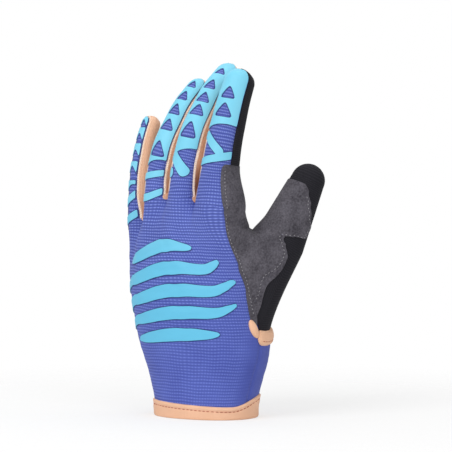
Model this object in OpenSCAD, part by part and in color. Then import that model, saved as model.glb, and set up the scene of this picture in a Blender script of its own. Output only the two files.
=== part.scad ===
// Full-finger slip-on glove for a left hand, filled out and standing on its hem.
// The back of the hand faces -Y, the palm +Y, the thumb +X and the fingers +Z.
// Panels are thin fabric shells that meet at named seam gaps. Knuckle and middle
// bands of every finger, and the band at the thumb base, stretch when a finger bends.

/* [Cuff] */
// Height of the bound hem round the wrist opening
hem_height = 9.5; // [6:0.5:14]
// Thickness of the folded hem binding
hem_thickness = 2.2; // [1.6:0.1:3]
// Width of the wrist opening, thumb side to little finger side
wrist_width = 63; // [58:1:70]
// Depth of the wrist opening, back to palm
wrist_depth = 46; // [40:1:52]
// Share of the hand height that the stretch cuff takes under the palm panel
cuff_share = 0.37; // [0.33:0.01:0.41]
// Width of the binding along the lower edge of the palm panel
binding_width = 8; // [5:0.5:11]

/* [Hand] */
// Width at the heel of the hand
heel_width = 88; // [82:1:94]
// Depth at the heel of the hand
heel_depth = 48; // [42:1:54]
// Height of the heel above the table
heel_height = 55; // [48:1:60]
// Swell of both sides of the hand between the heel and the knuckles
side_swell = 3; // [0:0.5:5]
// Depth of the hand just below the knuckles
knuckle_depth = 27; // [24:1:31]
// Turn of the knuckle line at the little finger, against the index finger
knuckle_arch = 34; // [20:1:40]
// Roll of the little finger about its own length, against the index finger
finger_roll = 28; // [20:1:32]
// Backward lean of the hand above the cuff
back_lean = 3.6; // [0:0.1:6]
// Sideways place of the index finger root
index_x = 10.5; // [5:0.5:14]
// Front to back place of the index finger root
index_y = -1.7; // [-4:0.1:2]

/* [Finger roots] */
// Height of the little finger side edge, where the little finger begins
outer_edge_height = 109.5; // [104:0.5:114]
// Height of the crotch between little and ring finger
little_crotch = 118; // [114:0.5:124]
// Height of the crotch between ring and middle finger
ring_crotch = 132.5; // [128:0.5:138]
// Height of the crotch between middle and index finger
middle_crotch = 129.5; // [126:0.5:136]
// Height of the index finger root on its thumb side
index_edge_height = 126; // [121:1:130]
// Clear gap between neighbouring fingers at their roots
finger_gap = 1.7; // [1.6:0.1:3]

/* [Fingers] */
// Width of the little finger at its root
little_width = 15.5; // [14.5:0.5:17.5]
// Width of the ring finger at its root
ring_width = 19.5; // [17:0.5:20]
// Width of the middle finger at its root
middle_width = 20.5; // [18:0.5:21]
// Width of the index finger at its root
index_width = 24; // [21:0.5:25]
// Length of the little finger stall
little_length = 68.5; // [64:0.5:76]
// Length of the ring finger stall
ring_length = 86.5; // [81:0.5:94]
// Length of the middle finger stall
middle_length = 93; // [88:0.5:100]
// Length of the index finger stall
index_length = 83; // [79:0.5:92]
// Depth of a finger as a share of its width
finger_roundness = 0.95; // [0.85:0.01:1]
// Width of a fingertip as a share of the root width
finger_taper = 0.75; // [0.66:0.01:0.84]
// Angle of the little finger to the upright, towards the thumb
little_splay = -3; // [-12:1:0]
// Angle of the ring finger to the upright, towards the thumb
ring_splay = 8.6; // [7.6:0.1:9]
// Angle of the middle finger to the upright, towards the thumb
middle_splay = 9.7; // [8:0.1:11]
// Angle of the index finger to the upright, towards the thumb
index_splay = 8.5; // [8:0.1:12]
// Bend of the little finger as shown, all three joints together
little_bend = 23; // [10:1:40]
// Bend of the ring finger as shown, all three joints together
ring_bend = 45; // [20:1:50]
// Bend of the middle finger as shown, all three joints together
middle_bend = 50; // [20:1:55]
// Bend of the index finger as shown, all three joints together
index_bend = 23; // [10:1:40]

/* [Thumb] */
// Width of the thumb at its root
thumb_width = 30.5; // [27:0.5:33]
// Depth of the thumb at its root
thumb_depth = 24; // [21:0.5:26]
// Width of the thumb tip
thumb_tip_width = 20.5; // [18:0.5:23]
// Length of the thumb stall above its root
thumb_length = 51.5; // [48:0.5:58]
// Height of the thumb root
thumb_height = 104.5; // [100:0.5:108]
// Sideways reach of the thumb root
thumb_reach = 41.5; // [38:0.5:45]
// Forward reach of the thumb root
thumb_forward = 16; // [12:0.5:20]
// Sideways tilt of the thumb
thumb_out = 17.1; // [10:0.1:22]
// Forward tilt of the thumb
thumb_front = 21.8; // [14:0.1:28]

/* [Fabric] */
// Thickness of the glove fabric
fabric = 1; // [0.7:0.1:1.4]
// Gap left between panels for the seams
seam_gap = 0.5; // [0.4:0.1:0.8]
// Thickness of the raised prints
print_thickness = 0.6; // [0.4:0.1:1]
// Gap under the prints and the binding
print_gap = 0.15; // [0.1:0.05:0.3]

/* [Prints] */
// Number of wave bands printed across the back of the hand
wave_count = 5; // [3:1:6]
// Height of the lowest wave band, as a share of the hand height
wave_low = 0.36; // [0.3:0.01:0.42]
// Height of the highest wave band, as a share of the hand height
wave_high = 0.74; // [0.66:0.01:0.78]
// Width of a wave band at its middle
wave_width = 6; // [4:0.5:7]
// Rise of the wave bands from one finger to the next
wave_slant = 4; // [0:0.5:6]
// Swing of the wave bands to either side
wave_swing = 3; // [1:0.5:4]
// Angle left bare between a finger print and the seams of its panel
print_margin = 8; // [6:1:16]

/* [Bands] */
// Length of the stretch band at each finger root
knuckle_band = 15; // [13:0.5:18]
// Length of the stretch band at each middle joint
middle_band = 14; // [12:0.5:16]
// Length of the stretch band at the thumb root
thumb_band = 8; // [6:0.5:10]
// Half angle of the strips along the finger sides
strip_angle = 28; // [22:1:36]

/* [Suede] */
// Reach of the suede up the index finger, above its root
tab_length = 24; // [20:1:27]
// Reach of the suede up the thumb, above its root
lobe_length = 36; // [30:1:39]

/* [Hidden] */

LITTLE = 0;
RING = 1;
MIDDLE = 2;
INDEX = 3;
THUMB = 4;

blue = [0.45, 0.48, 0.80];
turquoise = [0.45, 0.80, 0.90];
peach = [0.95, 0.78, 0.68];
grey = [0.45, 0.45, 0.47];
black = [0.20, 0.20, 0.22];

width = [little_width, ring_width, middle_width, index_width, thumb_width];
depth = concat([for (i = [0:3]) width[i] * finger_roundness], [thumb_depth]);
tip_width = concat([for (i = [0:3]) width[i] * finger_taper], [thumb_tip_width]);
tip_flatness = 0.92;
tip_depth = tip_flatness * tip_width;
length = [little_length, ring_length, middle_length, index_length, thumb_length];
splay = [little_splay, ring_splay, middle_splay, index_splay];
bend = [little_bend, ring_bend, middle_bend, index_bend];
edge_height = [outer_edge_height, little_crotch, ring_crotch, middle_crotch, index_edge_height];
// The knuckle line turns, and the fingers roll, more and more away from the index finger
arch = [for (i = [0:3]) knuckle_arch * pow((INDEX - i) / INDEX, 1.5)];
roll = [for (i = [0:3]) finger_roll * pow((INDEX - i) / INDEX, 2)];

// Places of the joints as shares of a finger, and the share of the bend that each joint takes
middle_share = 0.36;
tip_share = 0.68;
knuckle_take = 0.24;
middle_take = 0.42;
tip_take = 1 - knuckle_take - middle_take;
tip_band = 12;
mid_start = [for (i = [0:3]) middle_share * length[i]];
mid_end = [for (i = [0:3]) mid_start[i] + middle_band];
tip_bend_start = [for (i = [0:3]) tip_share * length[i]];
path = [for (i = [0:3]) [
    [knuckle_band, knuckle_take * bend[i]],
    [mid_start[i] - knuckle_band, 0],
    [middle_band, middle_take * bend[i]],
    [tip_bend_start[i] - mid_end[i], 0],
    [tip_band, tip_take * bend[i]],
    [length[i] - tip_bend_start[i] - tip_band, 0]]];
thumb_path = [[length[THUMB], 0]];

// Roots of the fingers step along the arch of the knuckles from the index finger
function root_step(i) = (width[i] + width[i + 1]) / 2 + finger_gap;
function root_turn(i) = (arch[i] + arch[i + 1]) / 2;
function root_at(i) = i == INDEX ? [index_x, index_y]
    : root_at(i + 1) + root_step(i) * [-cos(root_turn(i)), sin(root_turn(i))];
root = [for (i = [0:3]) root_at(i)];

function unit(v) = v / norm(v);
function smooth(t) = let (c = max(0, min(1, t))) c * c * (3 - 2 * c);

// Axes of the thumb: along to the tip, across towards the web, through to the palm
thumb_along = unit([tan(thumb_out), tan(thumb_front), 1]);
thumb_roll = 30;
outward = [cos(thumb_roll), sin(thumb_roll), 0];
thumb_across = -unit(outward - (outward * thumb_along) * thumb_along);
thumb_palm_axis = cross(thumb_across, thumb_along);
thumb_root = [thumb_reach, thumb_forward, thumb_height];

// Axes of the other digits: across towards the thumb, along to the tip, through to the palm
side_axis = [for (i = [0:3]) [cos(roll[i]), -sin(roll[i]), 0]];
palm_axis = concat([for (i = [0:3]) [sin(roll[i]), cos(roll[i]), 0]], [thumb_palm_axis]);
along_axis = concat([for (i = [0:3]) sin(splay[i]) * side_axis[i] + cos(splay[i]) * [0, 0, 1]],
    [thumb_along]);
across_axis = concat([for (i = [0:3]) cos(splay[i]) * side_axis[i] - sin(splay[i]) * [0, 0, 1]],
    [thumb_across]);
base = concat([for (i = [0:3]) [root[i][0], root[i][1], (edge_height[i] + edge_height[i + 1]) / 2]],
    [thumb_root]);

// The hand leans back smoothly between these two heights and straight above them
lean_from = 20;
lean_to = 80;
function lean_run(z) = z < lean_to
    ? 0.5 * pow(max(0, z - lean_from), 2) / (lean_to - lean_from)
    : 0.5 * (lean_to - lean_from) + z - lean_to;
function lean(p) = p - [0, tan(back_lean) * lean_run(p[2]), 0];

// Centre line of a digit: straight runs and even bends, giving along, in and heading
function chord(run, turn) = abs(turn) < 0.001 ? run : run * sin(turn / 2) / (turn / 2 * PI / 180);
function walk(s, legs, k = 0, at = [0, 0, 0]) =
    s <= 0 && k == 0 ? [s, 0, 0]
    : let (
        part = min(s, legs[k][0]),
        turn = legs[k][1] * part / legs[k][0],
        c = chord(part, turn),
        h = at[2] + turn / 2,
        next = [at[0] + c * cos(h), at[1] + c * sin(h), at[2] + turn])
    s <= legs[k][0] || k == len(legs) - 1 ? next : walk(s - legs[k][0], legs, k + 1, next);

function place(i, e, s, y) =
    let (
        w = walk(s, i == THUMB ? thumb_path : path[i]),
        p = base[i] + e * across_axis[i] + (w[0] - y * sin(w[2])) * along_axis[i]
            + (w[1] + y * cos(w[2])) * palm_axis[i])
    i == THUMB ? p : lean(p);

// Half width and half depth of a digit at a distance along it
function tip_start(i) = length[i] - tip_width[i] / 2;
function share(i, s) = max(0, min(1, s / tip_start(i)));
function half_width(i, s) = (width[i] + (tip_width[i] - width[i]) * share(i, s)) / 2;
function half_depth(i, s) = (depth[i] + (tip_depth[i] - depth[i]) * share(i, s)) / 2;

// Skin between index finger and thumb widens the index root on its thumb side
flare = 7;
flare_run = 25;
function root_flare(i, s, a) = i == INDEX ? flare * smooth(1 - s / flare_run) * max(0, cos(a)) : 0;

// Point on a digit: angle 0 faces the thumb, 90 the back, 180 the little finger side
function tube(i, s, a, lift = 0) = place(i,
    (half_width(i, s) + lift) * cos(a) + root_flare(i, s, a), s, -(half_depth(i, s) + lift) * sin(a));
// Point on a rounded fingertip: turn runs round the tip, rise from the side to the back
function cap(i, turn, rise, lift = 0) =
    let (r = tip_width[i] / 2 + lift)
    place(i, r * cos(rise) * cos(turn), tip_start(i) + r * cos(rise) * sin(turn),
        -(tip_depth[i] / 2 + lift) * sin(rise));
// Point on the back (way 1) or palm (way -1) of a fingertip, j of the way to the tip
function tip_face(i, j, a, rise, way, lift = 0) =
    let (
        r = tip_width[i] / 2 + lift,
        e = r * cos(a) * sqrt(1 - j * j),
        f = j * r * cos(rise))
    place(i, e, tip_start(i) + f,
        -way * (tip_depth[i] / 2 + lift) * sqrt(max(0, 1 - pow(e / r, 2) - pow(f / r, 2))));

// Slanted root of a finger, following the line of the crotches
function root_run(i, a) = (edge_height[i + 1] - edge_height[i]) / 2 * cos(a);

// Ring coordinate of the hand: 0 little finger edge, 0 to 4 over the back, 4 thumb edge,
// 4 to 8 over the palm. Whole numbers are the crotches between the fingers.
function ring_mod(g) = g < 0 ? g + 8 : g > 8 ? g - 8 : g;
function is_back(g) = ring_mod(g) <= 4;
function column(g) = is_back(g) ? ring_mod(g) : 8 - ring_mod(g);
function finger_of(c) = min(3, floor(c));
// Section of a finger carried back into the hand: round at the root (v = 1), with the valleys to
// its neighbours filled further down (v = 0)
crotch_sharpness = 8;
function is_inner(i, a) = cos(a) > 0 ? i < INDEX : i > LITTLE;
function section(i, a, v) = is_inner(i, a)
    ? 1 - v * ((1 - v) * pow(cos(a), 2) + v * (1 - sin(a)))
    : sin(a);
function ray(i, a, way, back, v) =
    let (s = root_run(i, a) - back)
    place(i, half_width(i, s) * cos(a) + root_flare(i, s, a), s,
        -way * half_depth(i, s) * section(i, a, v));
// Half of the step from the edge of a finger's section to the edge of its neighbour's
function crotch_shift(i, a, way, back, v) =
    let (
        edge = cos(a) > 0 ? 0 : 180,
        neighbour = cos(a) > 0 ? i + 1 : i - 1)
    (ray(neighbour, 180 - edge, way, back, v) - ray(i, edge, way, back, v)) / 2;
// Point at the root of a finger, or back from it along the finger's own line into the hand
function root_point(c, way, back = 0, v = 1) =
    let (
        i = finger_of(c),
        a = 180 * (1 - (c - i)),
        near = pow(abs(cos(a)), crotch_sharpness),
        shift = is_inner(i, a) ? near * crotch_shift(i, a, way, back, v) : [0, 0, 0])
    ray(i, a, way, back, v) + shift;

right_edge = root[INDEX][0] + index_width / 2;
left_edge = root[LITTLE][0] - little_width / 2 * cos(finger_roll);
arch_rate = (root[LITTLE][1] - root[INDEX][1]) / pow(root[LITTLE][0] - root[INDEX][0], 2);
// Sections of the hand are slightly squared ovals, from the heel up to the finger roots
hand_top = index_edge_height + flare;
power = 2 / 2.2;
// Heights over which the hand shifts towards the thumb and takes up the knuckle arch
shift_from = 30;
shift_run = 100;
arch_from = 40;
arch_run = 80;
// Shares of the hand height where the skin starts to gather to the finger roots, and where the
// valleys between the fingers start
gather_from = 0.5;
gather_power = 1.4;
valley_from = 0.72;
valley_power = 4;
function valley(u) = pow(smooth((u - valley_from) / (1 - valley_from)), valley_power);
function even(v) = sign(v) * pow(abs(v), power);
function hand(g, u) =
    let (
        c = column(g),
        way = is_back(g) ? 1 : -1,
        top = root_point(c, way),
        z = hem_height + u * (top[2] - hem_height),
        q = 180 * (1 - c / 4),
        low = smooth(z / heel_height),
        high = smooth((z - heel_height) / (hand_top - heel_height)),
        a0 = (wrist_width + (heel_width - wrist_width) * low) / 2,
        a = a0 + ((right_edge - left_edge) / 2 - a0) * high + 4 * side_swell * low * high * (1 - high),
        b0 = (wrist_depth + (heel_depth - wrist_depth) * low) / 2,
        b = b0 + (knuckle_depth / 2 - b0) * high,
        x = (right_edge + left_edge) / 2 * smooth((z - shift_from) / shift_run) + a * even(cos(q)),
        drop = root[INDEX][1] + arch_rate * pow(min(0, x - root[INDEX][0]), 2),
        y = -way * b * even(sin(q)) + drop * smooth((z - arch_from) / arch_run),
        p = lean([x, y, z]),
        k = pow(smooth((u - gather_from) / (1 - gather_from)), gather_power))
    p + k * (root_point(c, way, (1 - u) * (top[2] - hem_height), valley(u)) - p);

// Thumb hole in the hand: turn 0 at the web, 90 on the back, 180 at the wrist, 270 on the palm
hole_back = 0.28;
hole_palm = 0.6;
hole_mid = (1 + cuff_share) / 2;
hole_half = (1 - cuff_share) / 2;
function clamp(v) = max(-1, min(1, v));
function hole(turn, k) =
    let (
        m = clamp(sin(turn) * sqrt(2)) * k,
        v = clamp(cos(turn) * sqrt(2)) * k)
    hand(4 - m * (m > 0 ? hole_back : hole_palm), hole_mid + hole_half * v);
// Direction in which the skin leaves the hole: inwards, but straight for the thumb on the
// wrist side, by wrist_pull and side_pull, and down and out at the web, by web_pull
web_way = [0.8, 0.35, -0.5];
wrist_pull = 0.75;
side_pull = 0.6;
web_pull = 0.6;
function hole_way(turn, to) =
    let (
        inward = unit(hole(turn, 0.85) - hole(turn, 1)),
        wrist = wrist_pull * pow(max(0, -cos(turn)), 2) + side_pull * pow(sin(turn), 2),
        web = web_pull * pow(max(0, cos(turn)), 2),
        mixed = inward * (1 - wrist) + to * wrist)
    unit(mixed * (1 - web) + web_way * web);
// Skin from the thumb hole (v = 0) to the thumb root (v = 1), fullness setting how far it bows
fullness = 0.9;
side_fullness = 0.5;
function thenar(turn, v) =
    let (
        from = hole(turn, 1),
        to = tube(THUMB, 0, turn),
        d = norm(to - from),
        out = hole_way(turn, (to - from) / d) * d * (fullness + (side_fullness - fullness) * pow(sin(turn), 2)),
        up = along_axis[THUMB] * d * fullness)
    (2 * v * v * v - 3 * v * v + 1) * from + (v * v * v - 2 * v * v + v) * out
        + (3 * v * v - 2 * v * v * v) * to + (v * v * v - v * v) * up;

// Inner face of a skin, one fabric thickness in from the outer face
function skin_normal(du, dv) = unit(cross(du, dv));
function hand_in(g, u, t) =
    hand(g, u) + t * skin_normal(hand(g, min(1, u + 0.01)) - hand(g, u - 0.01),
        hand(g + 0.03, u) - hand(g - 0.03, u));
function thenar_in(turn, v, t) =
    thenar(turn, v) + t * skin_normal(thenar(turn - 4, v) - thenar(turn + 4, v),
        thenar(turn, min(1, v + 0.02)) - thenar(turn, max(0, v - 0.02)));

// Closed shell between two grids of points
function steps(from, to, n) = [for (k = [0:n]) from + (to - from) * k / n];
module shell(outer, inner) {
    nr = len(outer);
    nc = len(outer[0]);
    n = nr * nc;
    r = floor(nr / 2) - (nr > 2 ? 0 : 1);
    c = floor(nc / 2) - (nc > 2 ? 0 : 1);
    facing = cross(outer[r + 1][c] - outer[r][c], outer[r][c + 1] - outer[r][c])
        * (outer[r][c] - inner[r][c]);
    top = [for (i = [0:nr - 2]) for (j = [0:nc - 2])
        each quad(i * nc + j, (i + 1) * nc + j, (i + 1) * nc + j + 1, i * nc + j + 1)];
    under = [for (f = top) [f[2] + n, f[1] + n, f[0] + n]];
    rim = concat([for (j = [0:nc - 2]) j], [for (i = [0:nr - 2]) i * nc + nc - 1],
        [for (j = [nc - 1:-1:1]) (nr - 1) * nc + j], [for (i = [nr - 1:-1:1]) i * nc]);
    wall = [for (k = [0:len(rim) - 1]) let (a = rim[k], b = rim[(k + 1) % len(rim)])
        each quad(a, b, b + n, a + n)];
    all = concat(top, under, wall);
    polyhedron(points = concat([for (row = outer) each row], [for (row = inner) each row]),
        faces = facing > 0 ? [for (f = all) [f[2], f[1], f[0]]] : all);
}
function quad(a, b, c, d) = [[a, b, c], [a, c, d]];

// Closed band: rings of points that join up round a digit
module band(outer, inner) {
    nr = len(outer);
    nc = len(outer[0]);
    n = nr * nc;
    facing = cross(outer[1][0] - outer[0][0], outer[0][1] - outer[0][0])
        * (outer[0][0] - inner[0][0]);
    top = [for (i = [0:nr - 2]) for (j = [0:nc - 1]) let (k = (j + 1) % nc)
        each quad(i * nc + j, (i + 1) * nc + j, (i + 1) * nc + k, i * nc + k)];
    under = [for (f = top) [f[2] + n, f[1] + n, f[0] + n]];
    first = [for (j = [0:nc - 1]) let (k = (j + 1) % nc) each quad(j, k, k + n, j + n)];
    m = (nr - 1) * nc;
    last = [for (j = [0:nc - 1]) let (k = (j + 1) % nc)
        each quad(m + k, m + j, m + j + n, m + k + n)];
    all = concat(top, under, first, last);
    polyhedron(points = concat([for (row = outer) each row], [for (row = inner) each row]),
        faces = facing > 0 ? [for (f = all) [f[2], f[1], f[0]]] : all);
}

// Closed end: rings of points that run to one point
module dome(outer, inner, outer_end, inner_end) {
    nr = len(outer);
    nc = len(outer[0]);
    n = nr * nc;
    facing = cross(outer[1][0] - outer[0][0], outer[0][1] - outer[0][0])
        * (outer[0][0] - inner[0][0]);
    m = (nr - 1) * nc;
    top = concat([for (i = [0:nr - 2]) for (j = [0:nc - 1]) let (k = (j + 1) % nc)
        each quad(i * nc + j, (i + 1) * nc + j, (i + 1) * nc + k, i * nc + k)],
        [for (j = [0:nc - 1]) [m + j, 2 * n, m + (j + 1) % nc]]);
    under = [for (f = top) [for (k = [2:-1:0]) f[k] == 2 * n ? 2 * n + 1 : f[k] + n]];
    first = [for (j = [0:nc - 1]) let (k = (j + 1) % nc) each quad(j, k, k + n, j + n)];
    all = concat(top, under, first);
    polyhedron(points = concat([for (row = outer) each row], [for (row = inner) each row],
        [outer_end, inner_end]),
        faces = facing > 0 ? [for (f = all) [f[2], f[1], f[0]]] : all);
}

// Seam gaps in the coordinates of each skin
g_seam = seam_gap / 20;
hand_height = edge_height[2] - hem_height;
u_seam = seam_gap / hand_height;
// Room left between a finger and the panel edge below its root line
root_room = 0.7 * seam_gap;
a_seam = seam_gap / 2 / 8 * 180 / PI;
back_from = -0.42;
back_to = 4 - hole_back;
palm_from = 4 + hole_palm;
palm_to = 8 + back_from;

// Columns of a hand panel, six to a finger so that every crotch falls on one
function columns(from, to) = concat([from], [for (k = [ceil(from * 6 + 0.3):floor(to * 6 - 0.3)]) k / 6],
    [to]);
module hand_panel(from, to, u0, u1, rows) {
    cols = columns(from, to);
    us = steps(u0, u1, rows);
    shell([for (u = us) [for (g = cols) hand(g, u)]],
        [for (u = us) [for (g = cols) hand_in(g, u, fabric)]]);
}
// Raised piece on the hand, from a lower edge to an upper edge
module hand_patch(gs, low, high, rows, from, to) {
    shell([for (k = steps(0, 1, rows)) [for (j = [0:len(gs) - 1])
            hand_in(gs[j], low[j] + (high[j] - low[j]) * k, -to)]],
        [for (k = steps(0, 1, rows)) [for (j = [0:len(gs) - 1])
            hand_in(gs[j], low[j] + (high[j] - low[j]) * k, -from)]]);
}

// The hem stands out from the cuff by this much
hem_rise = 1;
module hem() {
    color(peach)
    linear_extrude(hem_height - seam_gap)
    difference() {
        polygon([for (q = [0:7.5:352.5])
            [(wrist_width / 2 + hem_rise) * even(cos(q)), (wrist_depth / 2 + hem_rise) * even(sin(q))]]);
        polygon([for (q = [0:7.5:352.5])
            [(wrist_width / 2 + hem_rise - hem_thickness) * even(cos(q)),
                (wrist_depth / 2 + hem_rise - hem_thickness) * even(sin(q))]]);
    }
}

module back_panel() {
    color(blue)
    hand_panel(back_from, back_to - g_seam, 0, 1 - u_seam, 14);
}

module cuff_palm() {
    color(blue)
    hand_panel(back_to + g_seam, palm_to - 2 * g_seam, 0, cuff_share - u_seam, 5);
}

module palm_panel() {
    color(black)
    hand_panel(palm_from + g_seam, palm_to - 3 * g_seam, cuff_share + u_seam, 1 - u_seam, 9);
}

// Folded binding that lies over the seam between cuff and palm
module palm_binding() {
    gs = columns(back_to + 2 * g_seam, palm_to - 4 * g_seam);
    low = cuff_share - u_seam - binding_width / hand_height;
    color(peach)
    hand_patch(gs, [for (g = gs) low], [for (g = gs) cuff_share - u_seam], 2, print_lift, print_lift + fabric);
}

// Raised wave bands across the back of the hand, shorter towards the top and the bottom
facet_room = 0.35;
print_lift = print_gap + facet_room;
wave_middle = 1.7;
wave_reach = 1.45;
wave_turn = 110;
module back_print() {
    rise = (wave_high - wave_low) / (wave_count - 1);
    color(turquoise)
    for (k = [0:wave_count - 1]) {
        off = (2 * k + 1) / wave_count - 1;
        half = wave_reach * sqrt(1 - off * off);
        gs = steps(wave_middle - half, wave_middle + half, 16);
        mid = [for (g = gs) wave_low + rise * k
            + (wave_slant * (g - wave_middle) + wave_swing * sin(g * wave_turn)) / hand_height];
        thick = [for (g = gs) wave_width / 2 / hand_height
            * sqrt(1.06 - pow((g - wave_middle) / half, 2))];
        hand_patch(gs, mid - thick, mid + thick, 2, print_lift, print_lift + print_thickness);
    }
}

// Part of the skin round the thumb root, from the hole in the hand to the thumb band
thenar_seam = seam_gap / 30;
thenar_to = 0.78;
// Turns at which the suede of the web meets the black panel, on the palm and on the back
web_palm = -84;
web_back = 112;
module thenar_panel_part(from, to, n) {
    turns = steps(from, to, n);
    vs = steps(2 * thenar_seam, thenar_to, 7);
    shell([for (v = vs) [for (t = turns) thenar(t, v)]],
        [for (v = vs) [for (t = turns) thenar_in(t, v, fabric)]]);
}

module thumb_web_patch() {
    color(grey)
    thenar_panel_part(web_palm + a_seam, web_back - a_seam, 14);
}

module thenar_panel() {
    color(black)
    thenar_panel_part(web_back + a_seam, web_palm + 360 - a_seam, 12);
}

module thumb_flex() {
    turns = [for (t = [0:18:342]) t];
    low = steps(thenar_to + 1.2 * thenar_seam, 0.97, 2);
    high = steps(0, thumb_band, 2);
    color(black)
    band(concat([for (v = low) [for (t = turns) thenar(t, v)]],
            [for (s = high) [for (t = turns) tube(THUMB, s, t)]]),
        concat([for (v = low) [for (t = turns) thenar_in(t, v, fabric)]],
            [for (s = high) [for (t = turns) tube(THUMB, s, t, -fabric)]]));
}

// Piece of a digit between two distances and two angles
module digit_part(i, s0, s1, a0, a1, rows, cols, out = 0, into = -fabric) {
    ss = steps(s0, s1, rows);
    as = steps(a0, a1, cols);
    shell([for (s = ss) [for (a = as) tube(i, s, a, out)]],
        [for (s = ss) [for (a = as) tube(i, s, a, into)]]);
}

// Turns of the suede lobe on the thumb, on the palm and on the back
lobe_palm = -64;
lobe_back = 116;
module thumb_lobe() {
    color(grey)
    digit_part(THUMB, thumb_band + seam_gap, lobe_length, lobe_palm + a_seam, lobe_back - a_seam, 4, 10);
}

module thumb_side() {
    color(black)
    digit_part(THUMB, thumb_band + seam_gap, lobe_length, lobe_back + a_seam, lobe_palm + 360 - a_seam,
        4, 10);
}

module thumb_tip() {
    turns = [for (t = [0:18:342]) t];
    run = steps(lobe_length + seam_gap, tip_start(THUMB), 2);
    rises = [18, 36, 54, 72];
    r = thumb_tip_width / 2;
    color(black)
    dome(concat([for (s = run) [for (t = turns) tube(THUMB, s, t)]],
            [for (h = rises) [for (t = turns) tip_ring(h, t, 0)]]),
        concat([for (s = run) [for (t = turns) tube(THUMB, s, t, -fabric)]],
            [for (h = rises) [for (t = turns) tip_ring(h, t, -fabric)]]),
        place(THUMB, 0, tip_start(THUMB) + r, 0),
        place(THUMB, 0, tip_start(THUMB) + r - fabric, 0));
}
function tip_ring(h, t, lift) = place(THUMB, (thumb_tip_width / 2 + lift) * cos(h) * cos(t),
    tip_start(THUMB) + (thumb_tip_width / 2 + lift) * sin(h),
    -(tip_depth[THUMB] / 2 + lift) * cos(h) * sin(t));

// Stretch band at a finger root, from the slanted root to the first finger panels
module root_band(i) {
    as = [for (a = [0:20:340]) a];
    rows = steps(0, 1, 3);
    function run(a, k) = (root_run(i, a) + root_room) * (1 - k) + knuckle_band * k;
    color(blue)
    band([for (k = rows) [for (a = as) tube(i, run(a, k), a)]],
        [for (k = rows) [for (a = as) tube(i, run(a, k), a, -fabric)]]);
}

// Stretch band at the middle joint of a finger
module mid_band(i) {
    as = [for (a = [0:20:340]) a];
    ss = steps(mid_start[i], mid_end[i], 3);
    color(blue)
    band([for (s = ss) [for (a = as) tube(i, s, a)]],
        [for (s = ss) [for (a = as) tube(i, s, a, -fabric)]]);
}

// Panels between the knuckle band and the middle band
module root_part(i, a0, a1, cols, shade) {
    color(shade)
    digit_part(i, knuckle_band + seam_gap, mid_start[i] - seam_gap, a0 + a_seam, a1 - a_seam, 3, cols);
}

// Back (way 1) or palm (way -1) panel from the middle band to the rounded tip
module finger_face(i, way, shade) {
    ss = steps(mid_end[i] + seam_gap, tip_start(i), 5);
    as = steps(strip_angle + a_seam, 180 - strip_angle - a_seam, 6);
    js = [0.35, 0.65, 0.85, 0.96];
    rise = strip_angle + a_seam;
    color(shade)
    shell(concat([for (s = ss) [for (a = as) tube(i, s, way * a)]],
            [for (j = js) [for (a = as) tip_face(i, j, a, rise, way)]]),
        concat([for (s = ss) [for (a = as) tube(i, s, way * a, -fabric)]],
            [for (j = js) [for (a = as) tip_face(i, j, a, rise, way, -fabric)]]));
}

// Strip that runs up one side of a finger, over the tip and down the other side
module finger_strip(i) {
    up = steps(mid_end[i] + seam_gap, tip_start(i), 5);
    rises = steps(-strip_angle + a_seam, strip_angle - a_seam, 2);
    turns = steps(22.5, 157.5, 6);
    function edge(lift) = concat(
        [for (s = up) [for (h = rises) tube(i, s, h, lift)]],
        [for (t = turns) [for (h = rises) cap(i, t, h, lift)]],
        [for (k = [len(up) - 1:-1:0]) [for (h = rises) tube(i, up[k], 180 - h, lift)]]);
    color(i == INDEX ? black : peach)
    shell(edge(0), edge(-fabric));
}

// Raised print on the back of a finger, from the middle band over the tip
module finger_print(i) {
    from = strip_angle + print_margin;
    ss = steps(mid_end[i] + 2 * seam_gap, tip_start(i), 5);
    as = steps(from, 180 - from, 6);
    js = [0.35, 0.65, 0.85];
    low = print_gap;
    high = print_gap + print_thickness;
    color(turquoise)
    shell(concat([for (s = ss) [for (a = as) tube(i, s, a, high)]],
            [for (j = js) [for (a = as) tip_face(i, j, a, from, 1, high)]]),
        concat([for (s = ss) [for (a = as) tube(i, s, a, low)]],
            [for (j = js) [for (a = as) tip_face(i, j, a, from, 1, low)]]));
}

// Suede that reaches up the index finger from the web
tab_palm = -64;
tab_back = 60;
module index_web_tab() {
    color(grey)
    digit_part(INDEX, knuckle_band + seam_gap, tab_length, tab_palm, tab_back, 3, 8,
        print_gap + fabric, print_gap);
}

module root_back(i) {
    root_part(i, strip_angle, 180 - strip_angle, 6, blue);
}
module root_palm(i) {
    root_part(i, 180 + strip_angle, 360 - strip_angle, 6, black);
}
module root_strip_in(i) {
    root_part(i, -strip_angle, strip_angle, 2, i == INDEX ? black : peach);
}
module root_strip_out(i) {
    root_part(i, 180 - strip_angle, 180 + strip_angle, 2, i == LITTLE ? black : peach);
}

module little_flex() { root_band(LITTLE); }
module little_root_back() { root_back(LITTLE); }
module little_root_palm() { root_palm(LITTLE); }
module little_root_strip_in() { root_strip_in(LITTLE); }
module little_root_strip_out() { root_strip_out(LITTLE); }
module little_mid_flex() { mid_band(LITTLE); }
module little_back() { finger_face(LITTLE, 1, blue); }
module little_palm() { finger_face(LITTLE, -1, black); }
module little_strip() { finger_strip(LITTLE); }
module little_print() { finger_print(LITTLE); }

module ring_flex() { root_band(RING); }
module ring_root_back() { root_back(RING); }
module ring_root_palm() { root_palm(RING); }
module ring_root_strip_in() { root_strip_in(RING); }
module ring_root_strip_out() { root_strip_out(RING); }
module ring_mid_flex() { mid_band(RING); }
module ring_back() { finger_face(RING, 1, blue); }
module ring_palm() { finger_face(RING, -1, black); }
module ring_strip() { finger_strip(RING); }
module ring_print() { finger_print(RING); }

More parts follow.
